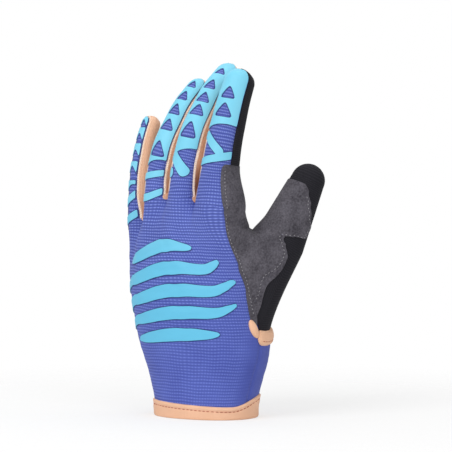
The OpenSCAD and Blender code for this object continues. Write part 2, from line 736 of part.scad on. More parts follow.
module middle_flex() { root_band(MIDDLE); }
module middle_root_back() { root_back(MIDDLE); }
module middle_root_palm() { root_palm(MIDDLE); }
module middle_root_strip_in() { root_strip_in(MIDDLE); }
module middle_root_strip_out() { root_strip_out(MIDDLE); }
module middle_mid_flex() { mid_band(MIDDLE); }
module middle_back() { finger_face(MIDDLE, 1, blue); }
module middle_palm() { finger_face(MIDDLE, -1, black); }
module middle_strip() { finger_strip(MIDDLE); }
module middle_print() { finger_print(MIDDLE); }

module index_flex() { root_band(INDEX); }
module index_root_back() { root_back(INDEX); }
module index_root_palm() { root_palm(INDEX); }
module index_root_strip_in() { root_strip_in(INDEX); }
module index_root_strip_out() { root_strip_out(INDEX); }
module index_mid_flex() { mid_band(INDEX); }
module index_back() { finger_face(INDEX, 1, blue); }
module index_palm() { finger_face(INDEX, -1, black); }
module index_strip() { finger_strip(INDEX); }
module index_print() { finger_print(INDEX); }

hem();
back_panel();
cuff_palm();
palm_panel();
palm_binding();
back_print();
thumb_web_patch();
thenar_panel();
thumb_flex();
thumb_lobe();
thumb_side();
thumb_tip();
little_flex();
little_root_back();
little_root_palm();
little_root_strip_in();
little_root_strip_out();
little_mid_flex();
little_back();
little_palm();
little_strip();
little_print();
ring_flex();
ring_root_back();
ring_root_palm();
ring_root_strip_in();
ring_root_strip_out();
ring_mid_flex();
ring_back();
ring_palm();
ring_strip();
ring_print();
middle_flex();
middle_root_back();
middle_root_palm();
middle_root_strip_in();
middle_root_strip_out();
middle_mid_flex();
middle_back();
middle_palm();
middle_strip();
middle_print();
index_flex();
index_root_back();
index_root_palm();
index_root_strip_in();
index_root_strip_out();
index_mid_flex();
index_back();
index_palm();
index_strip();
index_print();
index_web_tab();
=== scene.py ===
# %% [markdown]
# # A full-finger sailing glove, sewn from its own panels
# The glove stands on its hem as if a hand filled it. Each panel of the real glove is a flat piece of
# cloth that sewing and stretch have bent round the hand. So each piece here also starts as a flat grid,
# which keeps its cutting pattern as a UV map, and is then bent onto one shared form. The form could be
# sculpted by hand, but formulas keep every panel on the same surface, so that the seams meet.

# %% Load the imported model
import math

import bmesh
import bpy
from mathutils import Matrix, Vector, noise


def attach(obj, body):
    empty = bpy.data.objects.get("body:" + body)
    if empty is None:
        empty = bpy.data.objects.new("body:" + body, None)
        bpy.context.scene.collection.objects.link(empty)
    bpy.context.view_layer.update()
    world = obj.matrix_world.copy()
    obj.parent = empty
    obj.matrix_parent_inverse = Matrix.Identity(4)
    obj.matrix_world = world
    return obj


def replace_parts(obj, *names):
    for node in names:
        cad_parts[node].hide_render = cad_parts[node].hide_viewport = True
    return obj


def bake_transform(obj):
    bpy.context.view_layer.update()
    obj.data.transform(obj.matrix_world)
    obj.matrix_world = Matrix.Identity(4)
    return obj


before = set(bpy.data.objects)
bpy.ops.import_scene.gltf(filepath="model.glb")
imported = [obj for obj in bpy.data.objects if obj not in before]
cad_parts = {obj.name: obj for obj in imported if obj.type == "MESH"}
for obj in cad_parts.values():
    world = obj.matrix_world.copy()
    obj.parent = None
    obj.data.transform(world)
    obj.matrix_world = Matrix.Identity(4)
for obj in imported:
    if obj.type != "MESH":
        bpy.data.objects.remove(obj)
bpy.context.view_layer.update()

# %% [markdown]
# ## The camera
# The photograph looks at the back of the hand from the thumb side, almost level with it. A flat view
# without perspective would be simpler, but a long lens a metre and a half away keeps the small
# perspective of a real picture. The camera comes first, because everything else is judged through it.

# %% Camera
MM = 0.001
PIXELS, PIXEL_MM = 452, 0.60
DISTANCE, SENSOR = 1500.0, 36
AZIMUTH, ELEVATION = math.radians(30), math.radians(2)
GLOVE_MIDDLE, AIM_RIGHT, AIM_UP = Vector((0, 0, 107)), 12.0, 7.1
toward = Vector((math.sin(AZIMUTH) * math.cos(ELEVATION), -math.cos(AZIMUTH) * math.cos(ELEVATION),
                 math.sin(ELEVATION)))
right = Vector((math.cos(AZIMUTH), math.sin(AZIMUTH), 0))
upward = toward.cross(right)
aim = GLOVE_MIDDLE + right * AIM_RIGHT + upward * AIM_UP
lens = bpy.data.cameras.new("photo_camera")
lens.sensor_fit = "HORIZONTAL"
lens.sensor_width = SENSOR
lens.lens = SENSOR * DISTANCE / (PIXELS * PIXEL_MM)
camera = bpy.data.objects.new("photo_camera", lens)
bpy.context.scene.collection.objects.link(camera)
camera.matrix_world = (Matrix.Translation((aim + toward * DISTANCE) * MM)
                       @ Matrix((right, upward, toward)).transposed().to_4x4())
bpy.context.scene.camera = camera
print("lens", round(lens.lens, 1), "mm")

# %% [markdown]
# ## The sizes of the hand form
# These are the sizes of the solid model in millimetres, written out again because this file reads
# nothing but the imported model. A finger is a bent centre line with round sections along it.

# %% Sizes
HEM, WRIST_W, WRIST_D, CUFF = 9.5, 63.0, 46.0, 0.37
HEEL_W, HEEL_D, HEEL_H, KNUCKLE_D, SWELL = 88.0, 48.0, 55.0, 27.0, 3.0
LEAN, LEAN_FROM, LEAN_FULL = math.tan(math.radians(3.6)), 20.0, 80.0
EDGES = (109.5, 118.0, 132.5, 129.5, 126.0)
WIDTHS = (15.5, 19.5, 20.5, 24.0)
LENGTHS = (68.5, 86.5, 93.0, 83.0)
SPLAYS = (-3.0, 8.6, 9.7, 8.5)
BENDS = (23.0, 45.0, 50.0, 23.0)
GAP, ARCH, ROLL = 1.7, 34.0, 28.0
KNUCKLE, MIDDLE, TIP_BAND = 15.0, 14.0, 12.0
KNUCKLE_TURN, MIDDLE_TURN, TIP_TURN = 0.24, 0.42, 0.34
MIDDLE_SHARE, TIP_SHARE = 0.36, 0.68
DEPTH_SHARE, TIP_WIDTH_SHARE, TIP_DEPTH_SHARE = 0.95, 0.75, 0.92
STRIPS = (52.0, 38.0, 36.0, 28.0)
INDEX_ROOT, INDEX_FLARE, FLARE_REACH = Vector((10.5, -1.7, 0)), 7.0, 25.0
THUMB_BASE, THUMB_SIZE = Vector((41.5, 16, 104.5)), (30.5, 24.0)
THUMB_TIP, THUMB_LENGTH = 20.5, 51.5
THUMB_OUT, THUMB_FORWARD, THUMB_FACES = 17.1, 21.8, 30
HOLE_BACK, HOLE_PALM, BACK_FROM = 0.28, 0.6, -0.42
NAMES = ("little", "ring", "middle", "index")


def sind(a):
    return math.sin(math.radians(a))


def cosd(a):
    return math.cos(math.radians(a))


def limit(t, low=0.0, high=1.0):
    return max(low, min(high, t))


def smooth(t):
    t = limit(t)
    return t * t * (3 - 2 * t)


def lean(p):
    run = p.z - (LEAN_FROM + LEAN_FULL) / 2
    if p.z < LEAN_FULL:
        run = 0.5 * max(0.0, p.z - LEAN_FROM) ** 2 / (LEAN_FULL - LEAN_FROM)
    return Vector((p.x, p.y - LEAN * run, p.z))


print("four fingers", dict(zip(NAMES, LENGTHS)))

# %% [markdown]
# ## A digit
# Fingers and thumb share one recipe. Straight tubes bent by an armature would do too, but a formula gives
# every panel of a finger the same skin. walk() follows the centre line through its bends, place() sets a
# point beside it, and tube() goes round it: angle 0 faces the thumb, 90 the back of the hand and 180 the
# little finger side. Over the tip face() closes the back and palm panels, edge() carries the side strip
# across, and dome() rounds off the thumb.


# %% Digit class
class Digit:
    def __init__(self, name, base, across, along, palm, size, tip, length, legs, strip=0.0, flare=0.0,
                 leans=True):
        self.name, self.base, self.across, self.along, self.palm = name, base, across, along, palm
        self.width, self.depth = size
        self.tip_r, self.tip_d = tip / 2, TIP_DEPTH_SHARE * tip / 2
        self.length, self.legs, self.strip, self.flare, self.leans = length, legs, strip, flare, leans
        self.tip_start = length - tip / 2

    def walk(self, s):
        run, inward, heading = min(s, 0.0), 0.0, 0.0
        left = max(s, 0.0)
        for length, turn in self.legs:
            part = min(left, length)
            half = math.radians(turn * part / length) / 2
            chord = part * (math.sin(half) / half if abs(half) > 1e-6 else 1)
            angle = math.radians(heading) + half
            run += chord * math.cos(angle)
            inward += chord * math.sin(angle)
            heading += turn * part / length
            left -= part
            if left <= 0:
                break
        return run, inward, math.radians(heading)

    def place(self, e, s, y=0.0):
        run, inward, heading = self.walk(s)
        p = (self.base + e * self.across + (run - y * math.sin(heading)) * self.along
             + (inward + y * math.cos(heading)) * self.palm)
        return lean(p) if self.leans else p

    def half(self, s):
        share = limit(s / self.tip_start)
        return (self.width / 2 + (self.tip_r - self.width / 2) * share,
                self.depth / 2 + (self.tip_d - self.depth / 2) * share)

    def spread(self, s, angle):
        return self.flare * smooth(1 - s / FLARE_REACH) * max(0.0, cosd(angle))

    def tube(self, s, angle, lift=0.0):
        w, d = self.half(s)
        return self.place((w + lift) * cosd(angle) + self.spread(s, angle), s, -(d + lift) * sind(angle))

    def face(self, s, angle, way=1):
        if s <= self.tip_start:
            return self.tube(s, way * angle)
        j = min(0.99, (s - self.tip_start) / (self.tip_r * cosd(self.strip)))
        e, f = cosd(angle) * math.sqrt(1 - j * j), j * cosd(self.strip)
        deep = self.tip_d * math.sqrt(max(0.0, 1 - e * e - f * f))
        return self.place(self.tip_r * e, self.tip_start + self.tip_r * f, -way * deep)

    def edge(self, run, rise, start):
        side = self.tip_start - start
        over = math.pi * self.tip_r
        if run < side:
            return self.tube(start + run, rise)
        if run > side + over:
            return self.tube(self.tip_start - (run - side - over), 180 - rise)
        turn = 180 * (run - side) / over
        r = self.tip_r * cosd(rise)
        return self.place(r * cosd(turn), self.tip_start + r * sind(turn), -self.tip_d * sind(rise))

    def dome(self, s, angle):
        if s <= self.tip_start:
            return self.tube(s, angle)
        h = math.asin(limit((s - self.tip_start) / self.tip_r))
        return self.place(self.tip_r * math.cos(h) * cosd(angle), s, -self.tip_d * math.cos(h) * sind(angle))


print("digit recipe ready")

# %% [markdown]
# ## The four fingers and the thumb
# The finger roots step along the arch of the knuckles from the index finger. Each finger bends a little
# at the knuckle, more at its middle joint and again near the tip, as it does in the photograph.

# %% Fingers and thumb
roots = [None, None, None, INDEX_ROOT]
arch = [ARCH * ((3 - i) / 3) ** 1.5 for i in range(4)]
for i in (2, 1, 0):
    turn = (arch[i] + arch[i + 1]) / 2
    step = (WIDTHS[i] + WIDTHS[i + 1]) / 2 + GAP
    roots[i] = roots[i + 1] + step * Vector((-cosd(turn), sind(turn), 0))

UP = Vector((0, 0, 1))
fingers = []
for i, name in enumerate(NAMES):
    roll = ROLL * ((3 - i) / 3) ** 2
    side = Vector((cosd(roll), -sind(roll), 0))
    mid, tip_bend = MIDDLE_SHARE * LENGTHS[i], TIP_SHARE * LENGTHS[i]
    legs = [(KNUCKLE, KNUCKLE_TURN * BENDS[i]), (mid - KNUCKLE, 0),
            (MIDDLE, MIDDLE_TURN * BENDS[i]), (tip_bend - mid - MIDDLE, 0),
            (TIP_BAND, TIP_TURN * BENDS[i]), (LENGTHS[i] - tip_bend - TIP_BAND, 0)]
    finger = Digit(name, Vector((roots[i].x, roots[i].y, (EDGES[i] + EDGES[i + 1]) / 2)),
                   cosd(SPLAYS[i]) * side - sind(SPLAYS[i]) * UP,
                   sind(SPLAYS[i]) * side + cosd(SPLAYS[i]) * UP,
                   Vector((sind(roll), cosd(roll), 0)), (WIDTHS[i], DEPTH_SHARE * WIDTHS[i]),
                   TIP_WIDTH_SHARE * WIDTHS[i], LENGTHS[i], legs, STRIPS[i],
                   flare=INDEX_FLARE if name == "index" else 0.0)
    finger.mid, finger.slope = mid, (EDGES[i + 1] - EDGES[i]) / 2
    finger.split = (KNUCKLE + mid) / 2
    fingers.append(finger)
index = fingers[3]

along = Vector((math.tan(math.radians(THUMB_OUT)), math.tan(math.radians(THUMB_FORWARD)), 1)).normalized()
outward = Vector((cosd(THUMB_FACES), sind(THUMB_FACES), 0))
across = -(outward - outward.dot(along) * along).normalized()
thumb = Digit("thumb", THUMB_BASE, across, along, across.cross(along), THUMB_SIZE, THUMB_TIP, THUMB_LENGTH,
              [(THUMB_LENGTH, 0)], leans=False)
print("fingertips at", [tuple(round(c, 1) for c in f.place(0, f.length)) for f in fingers + [thumb]])

# %% [markdown]
# ## The skin of the hand
# hand() is the closed surface between the hem and the finger roots. Its first coordinate runs round the
# hand, 0 to 4 over the back and 4 to 8 over the palm, and whole numbers are the crotches between the
# fingers. Its second coordinate runs from the hem to the finger roots. ray() carries each finger's own
# section back into the hand, with the valleys between the fingers filled further down, so that the skin
# gathers into four rings without a step. crotch_slip() moves each crotch a little sideways and up, to where
# it lies on this glove. A little noise moves the skin in and out, as small folds do, and crotch_pull() draws
# it in below each crotch.


# %% Hand surface
def has_neighbour(i, angle):
    return i < 3 if cosd(angle) > 0 else i > 0


def section(i, angle, valley):
    if not has_neighbour(i, angle):
        return sind(angle)
    return 1 - valley * ((1 - valley) * cosd(angle) ** 2 + valley * (1 - sind(angle)))


def ray(i, angle, way=1, below=0.0, valley=1.0):
    f = fingers[i]
    s = f.slope * cosd(angle) - below
    w, d = f.half(s)
    return f.place(w * cosd(angle) + f.spread(s, angle), s, -way * d * section(i, angle, valley))


def crotch_shift(i, angle, way=1, below=0.0, valley=1.0):
    near = abs(cosd(angle)) ** 8
    if near < 0.001 or not has_neighbour(i, angle):
        return Vector((0, 0, 0))
    edge, neighbour = (0, i + 1) if cosd(angle) > 0 else (180, i - 1)
    step = ray(neighbour, 180 - edge, way, below, valley) - ray(i, edge, way, below, valley)
    return near * step / 2


CROTCH_SLIP = (Vector((2.9, 0, 1.0)), Vector((2.2, 0, 2.0)), Vector((0.6, 0, 2.6)))


def crotch_slip(i, angle):
    if not has_neighbour(i, angle):
        return Vector((0, 0, 0))
    return smooth(abs(cosd(angle)) / 0.8) * CROTCH_SLIP[i if cosd(angle) > 0 else i - 1]


RIGHT = roots[3].x + WIDTHS[3] / 2
LEFT = roots[0].x - WIDTHS[0] / 2 * cosd(ROLL)
ARCH_RATE = (roots[0].y - roots[3].y) / (roots[0].x - roots[3].x) ** 2
TOP = EDGES[4] + 7
GATHER_FROM, VALLEY_FROM = 0.5, 0.72
SQUARE = 2.2
CREASES = ((0.05, 0.11, 3, 0.45), (0.13, 0.3, 9, 0.2))
CREASE_START, CREASE_END = 0.15, 0.2
PULL_DEEP, PULL_WIDE, PULL_FROM, PULL_RUN, PULL_END = 0.8, 0.14, 0.7, 0.2, 0.08
SHIFT_FROM, SHIFT_RUN, ARCH_FROM, ARCH_RUN = 30, 100, 40, 80


def even(v):
    return math.copysign(abs(v) ** (2 / SQUARE), v)


def creases(p):
    return sum(deep * noise.noise(Vector((p.x * wide, p.y * wide, p.z * tall + start)))
               for wide, tall, start, deep in CREASES)


def crotch_pull(c, u):
    beside = abs(c - round(c)) if 0.5 < c < 3.5 else 1.0
    near_top = smooth((u - PULL_FROM) / PULL_RUN) * smooth((1 - u) / PULL_END)
    return -PULL_DEEP * math.exp(-(beside / PULL_WIDE) ** 2) * near_top


def hand(g, u):
    g %= 8
    back = g <= 4
    c = g if back else 8 - g
    way = 1 if back else -1
    i = min(3, int(c))
    angle = 180 * (1 - (c - i))
    top = ray(i, angle, way) + crotch_shift(i, angle)
    z = HEM + u * (top.z - HEM)
    q = 180 * (1 - c / 4)
    low, high = smooth(z / HEEL_H), smooth((z - HEEL_H) / (TOP - HEEL_H))
    a = (WRIST_W + (HEEL_W - WRIST_W) * low) / 2
    a += ((RIGHT - LEFT) / 2 - a) * high + 4 * SWELL * low * high * (1 - high)
    b = (WRIST_D + (HEEL_D - WRIST_D) * low) / 2
    b += (KNUCKLE_D / 2 - b) * high
    x = (RIGHT + LEFT) / 2 * smooth((z - SHIFT_FROM) / SHIFT_RUN) + a * even(cosd(q))
    drop = roots[3].y + ARCH_RATE * min(0.0, x - roots[3].x) ** 2
    y = -way * b * even(max(0.0, sind(q))) + drop * smooth((z - ARCH_FROM) / ARCH_RUN)
    p = lean(Vector((x, y, z)))
    valley = smooth((u - VALLEY_FROM) / (1 - VALLEY_FROM)) ** 4
    gather = smooth((u - GATHER_FROM) / (1 - GATHER_FROM)) ** 1.4
    below = (1 - u) * (top.z - HEM)
    gathered = ray(i, angle, way, below, valley) + crotch_shift(i, angle, way, below, valley)
    p += gather * (gathered - p) + gather ** 3 * crotch_slip(i, angle)
    out = Vector((cosd(q), -way * sind(q), 0))
    folds = creases(p) * smooth(u / CREASE_START) * smooth((1 - u) / CREASE_END)
    return p + out * (folds + crotch_pull(c, u))


print("hand is", round((hand(4, 0.4) - hand(0, 0.4)).length, 1), "mm wide at the heel")

# %% [markdown]
# ## The skin round the thumb
# The thumb grows out of a hole in the hand. A cubic curve joins each point of the hole to a point of the
# thumb root, leaving the hand in the hand's own direction and arriving along the thumb. Above the root
# the same coordinate runs on up the thumb, so one piece of suede can cover web and thumb together.
# web_fill() rounds the bottom of the web, where the cloth is slack.


# %% Thumb surface
def hole_height(cosine, k):
    return min(1.0, (1 + CUFF) / 2 + (1 - CUFF) / 2 * limit(cosine * math.sqrt(2), -1, 1) * k)


def hole(turn, k):
    m = limit(sind(turn) * math.sqrt(2), -1, 1) * k
    return hand(4 - m * (HOLE_BACK if m > 0 else HOLE_PALM), hole_height(cosd(turn), k))


WEB_DROP, WEB_WAY = 0.85, Vector((0, 0.3, -1))
ROOT_RUN, HOLE_SHRINK = 45.0, 0.11
WRIST_PULL, SIDE_PULL = 0.75, 0.6
LEAVE, LEAVE_WEB, LEAVE_SIDE, ARRIVE, ARRIVE_WEB = 0.9, 0.3, 0.4, 0.9, 0.3


def thenar(turn, v):
    start, end = hole(turn, 1), thumb.tube(0, turn)
    d = (end - start).length
    inward = (hole(turn, 0.85) - start).normalized()
    wrist = WRIST_PULL * max(0.0, -cosd(turn)) ** 2 + SIDE_PULL * sind(turn) ** 2
    web = max(0.0, cosd(turn)) ** 2
    leave = inward * (1 - wrist) + (end - start) / d * wrist
    way = leave * (1 - WEB_DROP * web) + WEB_WAY * WEB_DROP * web
    out = way.normalized() * d * (LEAVE + LEAVE_WEB * web - LEAVE_SIDE * sind(turn) ** 2)
    up = thumb.along * d * (ARRIVE - ARRIVE_WEB * web * web)
    return ((2 * v ** 3 - 3 * v * v + 1) * start + (v ** 3 - 2 * v * v + v) * out
            + (3 * v * v - 2 * v ** 3) * end + (v ** 3 - v * v) * up)


def bell(distance, reach):
    return smooth(1 - abs(distance) / reach)


WEB_SIDEWAYS, WEB_UPWARDS = ((42, 16, 2.5), (24, 8, 1.0)), ((31, 10, 1.2),)


def web_fill(turn, run):
    sideways, upwards = (sum(much * bell(run - at, reach) for at, reach, much in bells)
                         for bells in (WEB_SIDEWAYS, WEB_UPWARDS))
    return max(0.0, cosd(turn)) ** 4 * (sideways * thumb.across + upwards * UP)


def thumb_skin(turn, run):
    if run < 0:
        return hole(turn, 1 - run * HOLE_SHRINK)
    skin = thenar(turn, run / ROOT_RUN) if run < ROOT_RUN else thumb.dome(run - ROOT_RUN, turn)
    return skin + web_fill(turn, run)


print("thumb tip at", tuple(round(c, 1) for c in thumb_skin(0, ROOT_RUN + thumb.length)))

# %% [markdown]
# ## Shader formulas
# A knit is a pattern of small heights, and heights are easiest to write as sums. Value wraps a socket so
# that Python's own operators add Math nodes. Nodes holds a node tree with a single method that makes any
# other node, and Finish is the tree of one material.


# %% Value, Nodes and Finish
def srgb(*levels):
    shares = [level / 255 for level in levels]
    return tuple(c / 12.92 if c < 0.04045 else ((c + 0.055) / 1.055) ** 2.4 for c in shares) + (1.0,)


class Value:
    def __init__(self, nodes, socket):
        self.nodes, self.socket = nodes, socket

    def calc(self, kind, *terms):
        return self.nodes.node("ShaderNodeMath", {"operation": kind}, dict(enumerate(terms)))

    def __add__(self, other):
        return self.calc("ADD", self, other)

    def __radd__(self, other):
        return self.calc("ADD", other, self)

    def __sub__(self, other):
        return self.calc("SUBTRACT", self, other)

    def __rsub__(self, other):
        return self.calc("SUBTRACT", other, self)

    def __mul__(self, other):
        return self.calc("MULTIPLY", self, other)

    def __rmul__(self, other):
        return self.calc("MULTIPLY", other, self)

    def __pow__(self, other):
        return self.calc("POWER", self, other)

    def wave(self, length):
        return 0.5 + 0.5 * self.calc("SINE", self * (2 * math.pi / length))

    def between(self):
        return self.calc("MINIMUM", self.calc("MAXIMUM", self, 0.0), 1.0)


class Nodes:
    def __init__(self, tree):
        self.tree = tree

    def put(self, socket, value):
        if isinstance(value, Value):
            self.tree.links.new(value.socket, socket)
        else:
            socket.default_value = value

    def node(self, kind, settings=None, sockets=None, out=0):
        node = self.tree.nodes.new(kind)
        for key, value in (settings or {}).items():
            setattr(node, key, value)
        for key, value in (sockets or {}).items():
            self.put(node.inputs[key], value)
        return Value(self, node.outputs[out])

    def seen(self):
        rays = ("Is Camera Ray", "Is Glossy Ray", "Is Transmission Ray")
        return sum(self.node("ShaderNodeLightPath", out=ray_kind) for ray_kind in rays).between()


class Finish(Nodes):
    def __init__(self, name, roughness, sheen=0.0, shine=0.25):
        self.material = bpy.data.materials.new(name)
        self.material.use_nodes = True
        super().__init__(self.material.node_tree)
        self.shader = self.tree.nodes["Principled BSDF"]
        self.shader.inputs["Roughness"].default_value = roughness
        self.shader.inputs["Sheen Weight"].default_value = sheen
        self.shader.inputs["Sheen Roughness"].default_value = 0.5
        self.shader.inputs["Specular IOR Level"].default_value = shine

    def cut(self):
        spot = self.node("ShaderNodeUVMap", {"uv_map": "cut"})
        return [self.node("ShaderNodeSeparateXYZ", None, {0: spot}, k) for k in (0, 1)]

    def speckle(self, scale, detail=2.0):
        spot = self.node("ShaderNodeTexCoord", out=3)
        return self.node("ShaderNodeTexNoise", None, {"Vector": spot, "Scale": scale, "Detail": detail})

    def mix(self, factor, low, high):
        return self.node("ShaderNodeMix", {"data_type": "RGBA"}, {0: factor, 6: low, 7: high}, 2)

    def paint(self, colour, height=None, depth=0.0003, roughness=None):
        self.put(self.shader.inputs["Base Color"], colour)
        if height is not None:
            bump = self.node("ShaderNodeBump", None, {"Strength": 1.0, "Distance": depth, "Height": height})
            self.put(self.shader.inputs["Normal"], bump)
        if roughness is not None:
            self.put(self.shader.inputs["Roughness"], roughness)
        return self.material


print("shader formulas ready")

# %% [markdown]
# ## The knits
# The back is a ribbed stretch knit: courses across the hand about 1.8 mm apart, with fine columns of
# loops along them, and a painted highlight of pale glints on their crests. A picture of the knit would
# blur close up, so the pattern is a formula. It reads the cutting map, so it follows the cloth round the
# fingers. The cuff is a smoother knit of a darker blue. The finger sides are a fine peach knit with
# overlocked edges, and a painted shade makes them browner down between the fingers, where the gap is in
# shadow.

# %% Knit materials
CALM_FROM, CALM_BELOW, RIB_RISES = 63.0, 56.0, 40.0
STRIP_CUT, OVERLOCK = 9.0, 1.3


def rib_knit(name, dark, light, crest_glint, course=1.8, column=1.3):
    f = Finish(name, 0.8, sheen=0.08)
    x, y = f.cut()
    drift = f.speckle(30.0) * 3.2
    wobble = f.speckle(120.0)
    smoother = ((x - CALM_FROM) * 0.16).between() * ((CALM_BELOW - y) * 0.12).between()
    rib = (y + drift + 0.3 * wobble).wave(course) * (1 - 0.75 * smoother)
    loop = (x + 0.4 * drift + 0.5 * wobble).wave(column)
    height = rib * (0.5 + 0.5 * loop) * (0.6 + 0.4 * ((y - RIB_RISES) * 0.014).between())
    patch = f.speckle(45.0, 3.0)
    tone = f.mix((height * 0.95 + patch * 0.5 - 0.14).between(), dark, light)
    # painted highlight: pale glints on the crests of the courses and loops, where light catches the knit
    painted_glint = (height ** 3.0) * f.speckle(800.0) * 0.9
    return f.paint(f.mix(painted_glint.between(), tone, crest_glint), height, 0.00045)


def plain_knit(name, dark, light, course=0.8, column=0.9, depth=0.00015):
    f = Finish(name, 0.85, sheen=0.08)
    x, y = f.cut()
    wobble = f.speckle(90.0)
    loop = (y + 0.6 * wobble).wave(course) * 0.5 + (x + 0.6 * wobble).wave(column) * 0.5
    patch = f.speckle(60.0, 3.0)
    return f.paint(f.mix((loop * 0.4 + patch * 0.6).between(), dark, light), loop, depth)


def strip_knit(name, dark, light, overlock, gap_shade_tone):
    f = Finish(name, 0.85, sheen=0.08)
    x, y = f.cut()
    loop = (y + 0.35 * x).wave(0.9) * 0.6 + x.wave(0.9) * 0.4
    middle = x.calc("ABSOLUTE", x - 0.5 * STRIP_CUT)
    rim = ((middle - 0.5 * STRIP_CUT + OVERLOCK) * 2.2).between()
    thread_wrap = (y + 0.6 * x).wave(1.3)
    cloth_tone = f.mix((loop * 0.5 + f.speckle(60.0, 3.0) * 0.5).between(), dark, light)
    # painted shade: the strip turns browner lower on the finger, towards the crotch, where the gap between
    # the fingers lies in shadow
    painted_gap_shade = (y * -0.08).between() * (0.45 + 0.5 * f.speckle(140.0, 3.0))
    cloth_tone = f.mix(painted_gap_shade, cloth_tone, gap_shade_tone)
    edge_tone = f.mix((0.45 + 0.55 * thread_wrap).between(), light, overlock)
    return f.paint(f.mix(rim, cloth_tone, edge_tone), loop * (1 - rim) + thread_wrap * rim * 1.6, 0.00018)


# the third colour of blue_rib is the painted highlight on the knit's crests
blue_rib = rib_knit("blue_rib", srgb(62, 74, 154), srgb(108, 126, 210), srgb(160, 176, 238))
blue_knit = plain_knit("blue_knit", srgb(66, 78, 154), srgb(84, 98, 182))
# the last colour of the peach knit is its painted shade between the fingers
peach_knit = strip_knit("peach_knit", srgb(228, 178, 146), srgb(252, 212, 182), srgb(255, 236, 218),
                        srgb(160, 98, 72))
peach_binding = plain_knit("peach_binding", srgb(218, 166, 132), srgb(246, 202, 170), 0.7, 0.7)
print("knits:", [m.name for m in (blue_rib, blue_knit, peach_knit, peach_binding)])

# %% [markdown]
# ## Suede, palm leather, print and thread
# Noise of two scales is enough for each of these, because none has a regular weave but the palm. The
# thumb web is brushed grey suede: a fine nap with soft, broad strokes where it was rubbed. The palm
# and thumb are matt black with faint ribs. The raised print is a satin rubber, smooth next to the knit,
# with a painted shade that makes it darker on the hand, below the finger roots, than on the fingers.


# %% Other materials
def suede(name, dark, light):
    f = Finish(name, 0.95, sheen=0.05, shine=0.1)
    nap = f.speckle(900.0, 3.0)
    stroke = f.speckle(110.0, 4.0)
    tone = ((nap - 0.5) * 1.3 + (stroke - 0.5) * 1.2 + 0.5).between()
    return f.paint(f.mix(tone, dark, light), nap + stroke * 0.5, 0.0004)


def palm_leather(name, dark, light):
    f = Finish(name, 0.8, shine=0.12)
    _, y = f.cut()
    rib = (y + 0.2 * f.speckle(150.0)).wave(1.2)
    grain = f.speckle(1100.0, 2.0)
    return f.paint(f.mix((rib * 0.45 + grain * 0.5).between(), dark, light), rib * 0.6 + grain * 0.4, 0.0002)


FINGERS_FROM = 0.13


def satin_print(name, dark, light, below):
    f = Finish(name, 0.5)
    cloud = f.speckle(55.0, 2.0)
    grain = f.speckle(900.0, 1.0)
    height = f.node("ShaderNodeSeparateXYZ", None, {0: f.node("ShaderNodeTexCoord", out=3)}, 2)
    # painted shade: below FINGERS_FROM, on the hand, the print takes the darker colour passed as below
    tone = f.mix(((FINGERS_FROM - height) * 25.0).between(), f.mix(cloud, dark, light), below)
    return f.paint(tone, grain, 0.00006, 0.42 + 0.16 * cloud)


def thread(name, dark, light):
    f = Finish(name, 0.7, sheen=0.2)
    ply = f.speckle(2500.0, 1.0)
    return f.paint(f.mix(ply, dark, light), ply, 0.0001)


grey_suede = suede("grey_suede", srgb(52, 50, 56), srgb(104, 101, 109))
black_palm = palm_leather("black_palm", srgb(23, 23, 27), srgb(44, 43, 49))
# the third colour is the print's painted shade on the hand
turquoise_print = satin_print("turquoise_print", srgb(110, 198, 225), srgb(137, 213, 239),
                              srgb(98, 187, 220))
# painted shadow: a dark navy sheet, a little wider than each print, stands for the shade along the print's
# raised edge
navy_rim = satin_print("navy_rim", srgb(44, 52, 112), srgb(58, 68, 136), srgb(44, 52, 112))
pale_thread = thread("pale_thread", srgb(112, 110, 116), srgb(176, 174, 178))
rust_thread = thread("rust_thread", srgb(150, 66, 48), srgb(190, 98, 74))
print("finishes:", [m.name for m in (grey_suede, black_palm, turquoise_print, pale_thread, rust_thread)])

# %% [markdown]
# ## Cutting and sewing
# cloth() makes a panel: a flat grid, its cutting map, and then the bend onto the form. Near a sewn edge
# the cloth dips, because the seam pulls it in, and that dip is what shows as a seam line. A Solidify
# modifier gives the cloth its thickness inwards, so the outer face stays on the form. declare() works out
# from a piece's area the width it was cut to, but keeps nothing. The imported solids have materials of
# the same names; made() works out our material's name without the number Blender adds, but does not use it.
# skin_out() is the direction straight out of the form at one spot, for what lies on top of the cloth.


# %% Panel helpers
NARROWEST, CUT_SHARE = 0.0105, 0.85
CLOTH_WALL, WELD = 0.9, 0.02


def outwards(bm, heart):
    bm.normal_update()
    if sum((f.calc_center_median() - heart * MM).dot(f.normal) * f.calc_area() for f in bm.faces) < 0:
        bmesh.ops.reverse_faces(bm, faces=bm.faces)
    bm.normal_update()


def made(name, bm, finish, wall=0.0):
    for face in bm.faces:
        face.smooth = True
    for edge in bm.edges:
        edge.smooth = not edge.is_boundary
    mesh = bpy.data.meshes.new(name)
    bm.to_mesh(mesh)
    bm.free()
    mesh.materials.append(finish)
    piece = bpy.data.objects.new(name, mesh)
    bpy.context.scene.collection.objects.link(piece)
    if wall:
        solid = piece.modifiers.new("cloth_wall", "SOLIDIFY")
        solid.thickness = wall * MM
        solid.offset = -1
    slot = finish.name.split(".")[0]
    return piece


def declare(piece, long_side):
    area = sum(p.area for p in piece.data.polygons)
    width = max(NARROWEST, area / (CUT_SHARE * long_side * MM))
    long_side * MM


def flat_grid(columns, rows):
    bm = bmesh.new()
    bm.loops.layers.uv.new("cut")
    bmesh.ops.create_grid(bm, x_segments=columns, y_segments=rows, size=0.5)
    return bm


